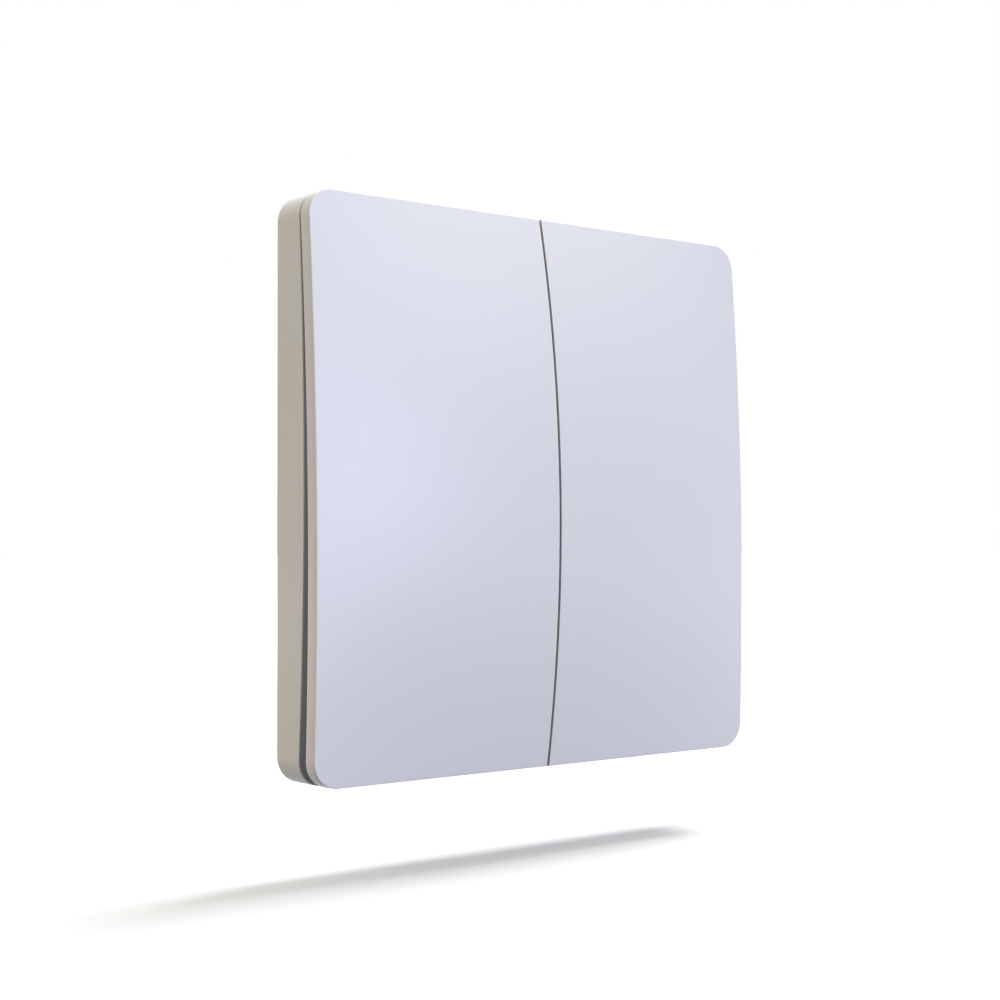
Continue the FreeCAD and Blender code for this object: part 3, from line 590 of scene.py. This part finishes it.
# Circuit board.
# A two-sided board of green glass laminate, with copper tracks under the solder mask.
# Its tin-coated pads and plated holes carry the parts, and four melted pegs hold its corners.
mask_light = (0.010, 0.085, 0.030)
mask_dark = (0.006, 0.062, 0.021)
track_light = (0.030, 0.160, 0.055)
track_dark = (0.024, 0.130, 0.045)
laminate = plastic("solder mask over laminate", mask_light, mask_dark, 0.3, 0.5 * mm, 0.004 * mm, 0.1,
                   Coat_Weight=0.15)
track_mask = plastic("solder mask over copper", track_light, track_dark, 0.28, 0.5 * mm, 0.004 * mm, 0.1,
                     Coat_Weight=0.15)
dress("circuit_board", laminate)
board_low, board_high = (Vector(corner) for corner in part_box("circuit_board"))
board_face = board_low.y
board_middle = (board_low.z + board_high.z) / 2
pad_thick = 0.05 * mm
track_thick = 0.03 * mm
track_width = 0.3 * mm

pad_rows, start, end = geometry_tree("Row of solder pads", [
    ("Count", "NodeSocketInt"), ("First Pad", "NodeSocketVector"), ("Step", "NodeSocketVector"),
    ("Pad Size", "NodeSocketVector"), ("Material", "NodeSocketMaterial")])
places = pad_rows.nodes.new("GeometryNodeMeshLine")
pad_rows.links.new(start.outputs["Count"], places.inputs["Count"])
pad_rows.links.new(start.outputs["First Pad"], places.inputs["Start Location"])
pad_rows.links.new(start.outputs["Step"], places.inputs["Offset"])
pad = pad_rows.nodes.new("GeometryNodeMeshCube")
pad_rows.links.new(start.outputs["Pad Size"], pad.inputs["Size"])
row = pad_rows.nodes.new("GeometryNodeInstanceOnPoints")
pad_rows.links.new(places.outputs["Mesh"], row.inputs["Points"])
pad_rows.links.new(pad.outputs["Mesh"], row.inputs["Instance"])
shapes = (start.outputs["Geometry"], row.outputs["Instances"])
finish_tree(pad_rows, shapes, start.outputs["Material"], end, False)


def pads(piece_mesh, x, z, step_x, step_z, count, width, height):
    """Mesh with one more row of pads on the board, centred on x and z."""
    first = (x - step_x * (count - 1) / 2, board_face, z - step_z * (count - 1) / 2)
    made = grown("pads", pad_rows, piece_mesh, {
        "Count": count, "First Pad": first, "Step": (step_x, 0.0, step_z),
        "Pad Size": (width, 2 * pad_thick, height), "Material": tinned})
    mesh = made.data
    bpy.data.objects.remove(made)
    return mesh


chip_edge = 2.5 * mm
chip_pitch = 0.5 * mm
lead_z = 2.15 * mm
rectifier_x = 20 * mm
regulator_x = 11.5 * mm
crystal_x = 6.1 * mm
can_x = -10.5 * mm
coil_x = 13.5 * mm
antenna_xs = (-17.4, -11.4, 17.4)
antenna_drop = 1.8 * mm
test_pitch = 1.5 * mm
test_pad = 0.55 * mm
test_rows = ((-6.0, 23.5, 5), (4.0, 12.0, 6), (-22.0, 10.5, 4), (22.0, 25.5, 4))
pad_mesh = bpy.data.meshes.new("board_pads")
for sign in (-1, 1):
    # each row's middle, its steps along X and Z, its number of pads and the size of one pad
    for row in (
            (0, board_middle + sign * chip_edge, chip_pitch, 0, 8, 0.26 * mm, 0.7 * mm),
            (sign * chip_edge, board_middle, 0, chip_pitch, 8, 0.7 * mm, 0.26 * mm),
            (sign * rectifier_x, board_middle + lead_z, 2 * mm, 0, 2, 1.0 * mm, 1.1 * mm),
            (sign * rectifier_x, board_middle - lead_z, 2 * mm, 0, 2, 1.0 * mm, 1.1 * mm),
            (regulator_x, board_middle + sign * 1.15 * mm, 0.967 * mm, 0, 3, 0.6 * mm, 0.9 * mm),
            (sign * coil_x, board_low.z + 1.4 * mm, 10 * mm, 0, 2, 1.4 * mm, 2.4 * mm),
            (crystal_x, board_middle + sign * 0.8 * mm, 2.4 * mm, 0, 2, 1.2 * mm, 1.0 * mm),
            (can_x, board_middle + sign * 2.1 * mm, 0, 0, 1, 1.6 * mm, 1.4 * mm)):
        pad_mesh = pads(pad_mesh, *row)
for x in antenna_xs:
    pad_mesh = pads(pad_mesh, x * mm, board_high.z - antenna_drop, 0, 0, 1, 1.6 * mm, 1.2 * mm)
for x, z, count in test_rows:
    pad_mesh = pads(pad_mesh, x * mm, z * mm, test_pitch, 0, count, test_pad, test_pad)
board_pads = linked("board_pads", pad_mesh)
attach(board_pads, "base")

# corners of each track on the board, in millimetres along X and Z
tracks = (
    ((-19, 8.4), (-19, 12), (-21, 14), (-21, 15.8)),
    ((-8.5, 8.4), (-8.5, 10), (-16, 12), (-19, 15), (-19, 15.8)),
    ((19, 8.4), (19, 12), (21, 14), (21, 15.8)),
    ((8.5, 8.4), (8.5, 10), (16, 12), (19, 15), (19, 15.8)),
    ((-19, 20.2), (-19, 22), (-16, 25), (-12, 25), (-10.5, 23.5), (-10.5, 20.4)),
    ((19, 20.2), (19, 22), (16.5, 24.5), (13.5, 24.5), (12.4, 23.4), (12.4, 19.4)),
    ((-10.5, 15.6), (-10.5, 12), (-9.4, 10.9), (9.5, 10.9), (10.6, 12), (10.6, 16.6)),
    ((11.5, 19.4), (11.5, 22), (10, 23.5), (3.2, 23.5), (1.75, 22), (1.75, 20.7)),
    ((2.7, 18.75), (4.9, 18.8)), ((2.7, 17.25), (4.9, 17.2)),
    ((-11.4, 28.2), (-11.4, 26.6), (-9.4, 24.6), (-3.2, 24.6), (-1.25, 22.65), (-1.25, 20.7)),
    ((-17.4, 28.2), (-17.4, 26), (-24, 19.4), (-24, 10)),
    ((-2.7, 16.25), (-4.8, 16.25), (-6.4, 14.65), (-6.4, 12)),
    ((-1.75, 15.3), (-1.75, 14.2), (-3.4, 12.6)),
    ((0.25, 15.3), (0.25, 12.0)), ((1.75, 15.3), (1.75, 13.6), (3.4, 12.0)),
)
work = bmesh.new()
for track in tracks:
    places = [Vector(place) * mm for place in track]
    runs = [(after - before).normalized() for before, after in zip(places, places[1:])]
    rings = []
    for i, place in enumerate(places):
        first, second = runs[max(i - 1, 0)], runs[min(i, len(runs) - 1)]
        across = Vector((-first.y - second.y, first.x + second.x)) / (1 + first.dot(second))
        across *= track_width / 2
        ring = []
        for edge in (place + across, place - across):
            for drop in (track_thick, -track_thick):
                ring.append(work.verts.new((edge.x, board_face + drop, edge.y)))
        rings.append(ring)
    for low, high in zip(rings, rings[1:]):
        for a, b in ((0, 1), (1, 3), (3, 2), (2, 0)):
            work.faces.new((low[a], low[b], high[b], high[a]))
    for ring in (rings[0], rings[-1]):
        work.faces.new((ring[0], ring[1], ring[3], ring[2]))
bmesh.ops.recalc_face_normals(work, faces=work.faces)
mesh = bpy.data.meshes.new("board_tracks")
work.to_mesh(mesh)
work.free()
mesh.materials.append(track_mask)
board_tracks = linked("board_tracks", mesh)
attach(board_tracks, "base")

# Parts on the board.
# Two black rectifiers and a regulator on bent leads, a leadless radio chip and a lidded crystal.
# A round storage capacitor holds the energy of one press, and a stamped strip is the antenna.
epoxy_light = (0.030, 0.030, 0.033)
epoxy_dark = (0.020, 0.020, 0.022)
tin_light = (0.78, 0.77, 0.74)
tin_dark = (0.62, 0.61, 0.58)
can_base = 0.62 * mm
can_top = 3.79 * mm
can_middle = -11.4 * mm
mark_reach = 1.75 * mm
mark_radius = 0.3 * mm
rectifier_half = 1.81 * mm
regulator_half = 0.81 * mm
lid_base = 0.3 * mm


def two_finishes(name, mask_from, first, second, first_rough, second_rough, plated=True):
    """Material with a moulded finish, and a metal one where a mask from the place is 1."""
    material, tree, shader, place = new_material(name)
    apart = tree.nodes.new("ShaderNodeSeparateXYZ")
    tree.links.new(place, apart.inputs[0])
    mask = mask_from(tree, apart.outputs)
    body = moulded_surface(tree, place, *first, first_rough, 0.12 * mm, 0.1)
    plate = worked_surface(tree, place, *second, second_rough, (1500.0, 1500.0, 1500.0), 0.1)
    tree.links.new(add_mix(tree, mask, body["Color"], plate["Color"]), shader.inputs["Base Color"])
    gap = add_math(tree, "SUBTRACT", plate["Roughness"], body["Roughness"])
    roughness = add_math(tree, "MULTIPLY_ADD", gap, mask, body["Roughness"])
    tree.links.new(roughness, shader.inputs["Roughness"])
    if plated:
        tree.links.new(mask, shader.inputs["Metallic"])
    add_bump(tree, shader, body["Height"], 0.004 * mm)
    return material


def beyond_height(half):
    """Mask that is 1 beyond a distance above or below the board's middle line."""
    def mask(tree, axes):
        offset = add_math(tree, "ABSOLUTE", add_math(tree, "SUBTRACT", axes["Z"], board_middle))
        return add_math(tree, "GREATER_THAN", offset, half)
    return mask


def in_front_of(depth):
    """Mask that is 1 in front of a distance from the board's face."""
    def mask(tree, axes):
        return add_math(tree, "LESS_THAN", axes["Y"], board_face - depth)
    return mask


def can_mask(tree, axes):
    """Mask that is 1 on the can, apart from the dark mark over its negative side."""
    above = add_math(tree, "LESS_THAN", axes["Y"], board_face - can_base)
    top = add_math(tree, "LESS_THAN", axes["Y"], board_face - can_top)
    left = add_math(tree, "LESS_THAN", axes["X"], can_middle)
    return add_math(tree, "SUBTRACT", above, add_math(tree, "MULTIPLY", top, left))


def chip_mask(tree, axes):
    """Mask that is 1 in the round mark beside the first pin."""
    across = add_math(tree, "ADD", axes["X"], mark_reach)
    along = add_math(tree, "SUBTRACT", axes["Z"], board_middle + mark_reach)
    across_squared = add_math(tree, "MULTIPLY", across, across)
    along_squared = add_math(tree, "MULTIPLY", along, along)
    square = add_math(tree, "ADD", across_squared, along_squared)
    return add_math(tree, "LESS_THAN", square, mark_radius ** 2)


epoxy = (epoxy_light, epoxy_dark)
tin = (tin_light, tin_dark)
rectifier_finish = two_finishes("rectifier", beyond_height(rectifier_half), epoxy, tin, 0.5, 0.25)
regulator_finish = two_finishes("regulator", beyond_height(regulator_half), epoxy, tin, 0.5, 0.25)
chip_mark = ((0.10, 0.10, 0.10), (0.08, 0.08, 0.08))
chip_finish = two_finishes("radio chip", chip_mask, epoxy, chip_mark, 0.45, 0.3, False)
ceramic = ((0.10, 0.09, 0.08), (0.07, 0.06, 0.05))
lid = ((0.70, 0.67, 0.60), (0.58, 0.55, 0.49))
lid_finish = two_finishes("crystal", in_front_of(lid_base), ceramic, lid, 0.5, 0.2)
can = ((0.80, 0.80, 0.82), (0.68, 0.68, 0.70))
can_finish = two_finishes("storage capacitor", can_mask, epoxy, can, 0.4, 0.22)
for side in sides:
    dress("rectifier_" + side, rectifier_finish)
dress("voltage_regulator", regulator_finish)
dress("radio_chip", chip_finish)
dress("crystal", lid_finish)
dress("storage_capacitor", can_finish)
dress("antenna", tinned)

# Rockers.
# Two tall push plates in the same white plastic, bowed both ways and most of all along the seam.
# Each is one moulding with its lip, ribs, hinge lugs, hooks and the rib that presses the lever.
inner_side = 0.2
back_depth = 6.02
edge_thick = 2.45
edge_bow = 1.4
seam_bow = 4.0
lip_bow = 1.45
shell_thick = 1.5
outer_lip = 1.6
seam_lip = 1.2
tilt = math.radians(1.11)
front_round = 0.08
back_round = 0.1
notch_low = 39.15
notch_high = 41.35
notch_play = 0.02
# painted shade: a darker tone on the seam walls stands for the shadow in the narrow seam
seam_shade_tone = (0.50, 0.49, 0.46)
seam_margin = 0.03
hinge_depth = 6.0
hinge_z = 38.0
lug_radius = 1.3
lug_half = 0.7
lug_places = ((7.6, -1), (35.6, 1))
trunnion_radius = 0.9
trunnion_reach = 2.3
pin_sides = 32
hook_low = -39.3
hook_high = -38.1
hook_back = 3.95
hook_xs = (6.6, 36.6)
hook_half = 2.0
toe_length = 1.3
toe_thick = 0.8
push_x = 13.5
push_z = -35.4
push_depth = 8.37
push_half_x = 3.0
push_half_z = 0.6
rib_xs = (25.5, 34.0)
rib_zs = (-29.0, -14.0, 1.0, 16.0)
rib_thick = 1.0
rib_high = 1.0
rib_end = 39.2
long_rib_steps = 40
short_rib_steps = 10
sunk = 0.3
close_line = 0.15
straight_columns = 26
straight_rows = 52
rocker_sharp = math.radians(32)
corner_steps = (0.0, 0.05, 0.2, 0.4, 0.6, 0.8, 0.96, 1.0)


def front_depth(x, z):
    """Depth of the bowed front before the rocker is tilted."""
    across = edge_bow + (seam_bow - edge_bow) * (1 - (x / face_half) ** 2)
    return back_depth + edge_thick + across * (1 - (z / face_half) ** 2)


def rim_depth(x, z, at_seam):
    """Depth of the back of the lip, which leaves two notches beside the housing's flange."""
    if at_seam and notch_low < abs(z) < notch_high:
        return front_depth(x, z) - shell_thick - notch_play
    if at_seam or x < face_half / 2:
        return front_depth(x, z) - edge_thick
    radius = (lip_bow ** 2 + face_half ** 2) / (2 * lip_bow)
    return back_depth + lip_bow - radius + math.sqrt(radius ** 2 - z ** 2)


def plan_lines(low, high, straight_end, count):
    """Places of the lines from a straight side to a corner, with one line close to each side."""
    first = low + close_line
    lines = [low, first]
    lines += [first + (straight_end - low - close_line) * i / count for i in range(1, count)]
    return lines + [straight_end + (high - straight_end) * step for step in corner_steps]


def plan_grid(inset, seam_inset):
    """Rows of (x, z) over the rocker's outline, moved in from its outer sides and its seam side."""
    centre = face_half - corner_radius
    radius = corner_radius - inset
    xs = plan_lines(inner_side + seam_inset, face_half - inset, centre, straight_columns)
    upper = [centre + radius * step for step in corner_steps]
    middle = [-centre + 2 * centre * i / straight_rows for i in range(1, straight_rows)]
    zs = [-z for z in reversed(upper)] + middle + upper
    rows = []
    for z in zs:
        row = []
        for x in xs:
            dx, dz = x - centre, abs(z) - centre
            if dx > 0 and dz > 0:
                pull = max(dx, dz) / math.hypot(dx, dz)
                row.append((centre + dx * pull, math.copysign(centre + dz * pull, z)))
            else:
                row.append((x, z))
        rows.append(row)
    return rows


def boundary(rows):
    """The outline's places in order, with a mark for those on the seam side."""
    loop = [(place, False) for place in rows[0]]
    loop += [(row[-1], False) for row in rows[1:]]
    loop += [(place, False) for place in reversed(rows[-1][:-1])]
    loop += [(row[0], True) for row in reversed(rows[1:-1])]
    return loop


def seam_shade_mask(tree, axes):
    """One on the walls of the seam, which get a darker painted shade."""
    reach = add_math(tree, "ABSOLUTE", axes["X"])
    return add_math(tree, "LESS_THAN", reach, (inner_side + seam_margin) * mm)


# the seam walls of both rockers get the painted shade
rocker_plastic = plastic("rocker plastic", *white, painted_shade=(seam_shade_mask, seam_shade_tone))


def rocker_mesh(side, name):
    """Closed shell with its fine inner parts, in metres, for the side -1 or 1."""
    work = bmesh.new()

    def tilted(x, depth, z):
        """Point of the tilted shell, turned out about its top back edge."""
        d, h = depth - back_depth, z - face_half
        y = -(back_depth + d * math.cos(tilt) - h * math.sin(tilt))
        z = face_half + h * math.cos(tilt) + d * math.sin(tilt)
        return Vector((side * x * mm, y * mm, z * mm))

    def sheet(rows, lowered):
        """Grid of faces under the front, and the loop of its outer points."""
        points = []
        for row in rows:
            places = [tilted(x, front_depth(x, z) - lowered, z) for x, z in row]
            points.append([work.verts.new(place) for place in places])
        for low, high in zip(points, points[1:]):
            for i in range(len(low) - 1):
                work.faces.new((low[i], low[i + 1], high[i + 1], high[i]))
        return [p for p, _ in boundary(points)]

    def ring(inset, seam_inset, depth_at):
        """Loop of points along the outline, at a depth that follows from each place."""
        loop = []
        for (x, z), at_seam in boundary(plan_grid(inset, seam_inset)):
            loop.append(work.verts.new(tilted(x, depth_at(x, z, at_seam), z)))
        return loop

    loops = [sheet(plan_grid(front_round, front_round), 0)]
    for angle in (30, 60, 90):
        inset = front_round * (1 - math.sin(math.radians(angle)))
        drop = front_round * (1 - math.cos(math.radians(angle)))
        def depth_at(x, z, at_seam, drop=drop):
            return front_depth(x, z) - drop
        loops.append(ring(inset, inset, depth_at))
    for angle in (0, 45, 90):
        inset = back_round * (1 - math.cos(math.radians(angle)))
        lift = back_round * (1 - math.sin(math.radians(angle)))
        def depth_at(x, z, at_seam, lift=lift):
            return rim_depth(x, z, at_seam) + lift
        loops.append(ring(inset, inset, depth_at))
    loops.append(ring(outer_lip, seam_lip, rim_depth))
    loops.append(sheet(plan_grid(outer_lip, seam_lip), shell_thick))
    for outer, inner in zip(loops, loops[1:]):
        for i in range(len(outer)):
            j = (i + 1) % len(outer)
            work.faces.new((outer[i], outer[j], inner[j], inner[i]))

    def box(x0, x1, z0, z1, back, front=None):
        """Plain bar inside the rocker, from a depth to another or into the middle of the shell."""
        if front is None:
            x, z = max(abs(x0), abs(x1)), (z0 + z1) / 2
            front = front_depth(x, z) + (face_half - z) * math.tan(tilt) - shell_thick / 2
        made = bmesh.ops.create_cube(work, size=1)["verts"]
        centre = Vector((side * (x0 + x1) / 2, -(back + front) / 2, (z0 + z1) / 2)) * mm
        size = Vector((x1 - x0, front - back, z1 - z0)) * mm
        bmesh.ops.transform(work, matrix=Matrix.LocRotScale(centre, None, size), verts=made)

    def rod(radius, x0, x1):
        """Round pin along X on the hinge line."""
        turn = Matrix.Rotation(math.radians(90), 4, "Y")
        centre = Matrix.Translation(Vector((side * (x0 + x1) / 2, -hinge_depth, hinge_z)) * mm)
        bmesh.ops.create_cone(work, cap_ends=True, segments=pin_sides, radius1=radius * mm,
                              radius2=radius * mm, depth=abs(x1 - x0) * mm, matrix=centre @ turn)

    def rib(x0, x1, z0, z1, steps):
        """Low rib that follows the inside of the front."""
        loops_of_rib = []
        for i in range(steps + 1):
            share = i / steps
            if z1 - z0 > x1 - x0:
                z = z0 + (z1 - z0) * share
                ends = ((x0, z), (x1, z))
            else:
                x = x0 + (x1 - x0) * share
                ends = ((x, z1), (x, z0))
            loop = []
            corners = ((ends[0], rib_high), (ends[1], rib_high), (ends[1], -sunk), (ends[0], -sunk))
            for (x, z), drop in corners:
                loop.append(work.verts.new(tilted(x, front_depth(x, z) - shell_thick - drop, z)))
            loops_of_rib.append(loop)
        for low, high in zip(loops_of_rib, loops_of_rib[1:]):
            for i in range(4):
                work.faces.new((low[i], low[(i + 1) % 4], high[(i + 1) % 4], high[i]))
        work.faces.new(loops_of_rib[0])
        work.faces.new(loops_of_rib[-1])

    for x in rib_xs:
        rib(x, x + rib_thick, -rib_end, rib_end, long_rib_steps)
    for z in rib_zs:
        rib(rib_xs[0], rib_end, z, z + rib_thick, short_rib_steps)
    for x, end_side in lug_places:
        box(x - lug_half, x + lug_half, hinge_z - lug_radius, hinge_z + lug_radius, hinge_depth)
        rod(lug_radius, x - lug_half, x + lug_half)
        rod(trunnion_radius, x, x + end_side * trunnion_reach)
    for x in hook_xs:
        box(x - hook_half, x + hook_half, hook_low, hook_high, hook_back)
        toe_low = hook_low - toe_length
        box(x - hook_half, x + hook_half, toe_low, hook_high, hook_back, hook_back + toe_thick)
    push_low, push_high = push_z - push_half_z, push_z + push_half_z
    box(push_x - push_half_x, push_x + push_half_x, push_low, push_high, push_depth)

    bmesh.ops.recalc_face_normals(work, faces=work.faces)
    mesh = bpy.data.meshes.new(name)
    work.to_mesh(mesh)
    work.free()
    mesh.materials.append(rocker_plastic)
    mesh.shade_smooth()
    mesh.set_sharp_from_angle(angle=rocker_sharp)
    return mesh


for name, side in (("left", -1), ("right", 1)):
    rocker = linked("rocker_plate_" + name, rocker_mesh(side, "rocker_plate_" + name))
    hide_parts("rocker_" + name)
    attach(rocker, "rocker_" + name)

# Studio.
# The switch hangs a little above a pale floor that runs out into white.
# Soft lamps light it: a strong one high at the right, two cool ones in front, a warm one at the left.
floor_drop = 56.7 * mm
floor_colour = (0.832, 0.851, 0.889)
floor_bounce = 0.05
floor_size = 8
glow_start = 0.2
glow_full = 0.55
room_colour = (1, 0.95, 0.86)
room_strength = 0.61
camera_lens = 62.05
camera_place = Vector((-173.722, -217.310, -7.347)) * mm
camera_yaw = 0.67024
camera_pitch = 0.0223
camera_roll = -0.00164


def white_to_camera(tree):
    """One where a ray comes straight from the camera, off a glossy surface or through glass."""
    path = tree.nodes.new("ShaderNodeLightPath")
    seen = add_math(tree, "MAXIMUM", path.outputs["Is Camera Ray"], path.outputs["Is Glossy Ray"])
    return add_math(tree, "MAXIMUM", seen, path.outputs["Is Transmission Ray"])


bpy.ops.mesh.primitive_plane_add(size=floor_size, location=(0, 0, -floor_drop))
floor = bpy.context.object
floor.name = "floor"
floor_material = bpy.data.materials.new("pale floor")
floor_material.use_nodes = True
tree = floor_material.node_tree
shader = tree.nodes["Principled BSDF"]
seen = white_to_camera(tree)
tree.links.new(add_mix(tree, seen, (floor_bounce,) * 3, floor_colour), shader.inputs["Base Color"])
shader.inputs["Roughness"].default_value = 1.0
shader.inputs["Specular IOR Level"].default_value = 0.0
shader.inputs["Emission Color"].default_value = (1, 1, 1, 1)
place = tree.nodes.new("ShaderNodeTexCoord").outputs["Object"]
reach = tree.nodes.new("ShaderNodeVectorMath")
reach.operation = "LENGTH"
tree.links.new(place, reach.inputs[0])
ramp = tree.nodes.new("ShaderNodeMapRange")
ramp.interpolation_type = "SMOOTHSTEP"
ramp.inputs["From Min"].default_value = glow_start
ramp.inputs["From Max"].default_value = glow_full
tree.links.new(reach.outputs["Value"], ramp.inputs["Value"])
glow = add_math(tree, "MULTIPLY", seen, ramp.outputs["Result"])
tree.links.new(glow, shader.inputs["Emission Strength"])
floor.data.materials.append(floor_material)

world = bpy.data.worlds.new("soft room")
bpy.context.scene.world = world
world.use_nodes = True
tree = world.node_tree
room = tree.nodes["Background"]
room.inputs["Color"].default_value = (*room_colour, 1)
room.inputs["Strength"].default_value = room_strength
backdrop = tree.nodes.new("ShaderNodeBackground")
backdrop.inputs["Color"].default_value = (1, 1, 1, 1)
backdrop.inputs["Strength"].default_value = 1.0
choice = tree.nodes.new("ShaderNodeMixShader")
tree.links.new(white_to_camera(tree), choice.inputs[0])
tree.links.new(room.outputs[0], choice.inputs[1])
tree.links.new(backdrop.outputs[0], choice.inputs[2])
tree.links.new(choice.outputs[0], tree.nodes["World Output"].inputs["Surface"])


def soft_lamp(name, place, width, height, power, colour):
    """Square or oblong lamp that faces the middle of the switch."""
    data = bpy.data.lights.new(name, "AREA")
    data.shape = "RECTANGLE"
    data.size = width
    data.size_y = height
    data.energy = power
    data.color = colour
    lamp = linked(name, data)
    facing = Vector(place).to_track_quat("Z", "Y").to_matrix().to_4x4()
    lamp.matrix_world = Matrix.Translation(place) @ facing


soft_lamp("top lamp", (0.62, 0.08, 0.96), 0.42, 0.56, 12.5, (1, 0.99, 0.98))
soft_lamp("high front lamp", (0.25, -0.8, 0.48), 0.7, 0.5, 3.8, (0.82, 0.88, 1))
soft_lamp("front lamp", (0.35, -1.02, 0.06), 0.32, 0.32, 3.75, (0.57, 0.64, 1))
soft_lamp("left lamp", (-0.5, -0.06, 0.3), 0.35, 0.35, 0.72, (1, 0.8, 0.45))

camera_data = bpy.data.cameras.new("camera")
camera_data.sensor_width = 36
camera_data.lens = camera_lens
camera_data.clip_start = 0.01
camera_data.clip_end = 50
camera = linked("camera", camera_data)
level = math.cos(camera_pitch)
forward = Vector((math.sin(camera_yaw) * level, math.cos(camera_yaw) * level, math.sin(camera_pitch)))
flat_right = Vector((math.cos(camera_yaw), -math.sin(camera_yaw), 0))
flat_up = flat_right.cross(forward)
right = math.cos(camera_roll) * flat_right + math.sin(camera_roll) * flat_up
up = math.cos(camera_roll) * flat_up - math.sin(camera_roll) * flat_right
turn = Matrix((right, up, -forward)).transposed().to_4x4()
camera.matrix_world = Matrix.Translation(camera_place) @ turn
bpy.context.scene.camera = camera

view = bpy.context.scene.view_settings
view.view_transform = "Standard"
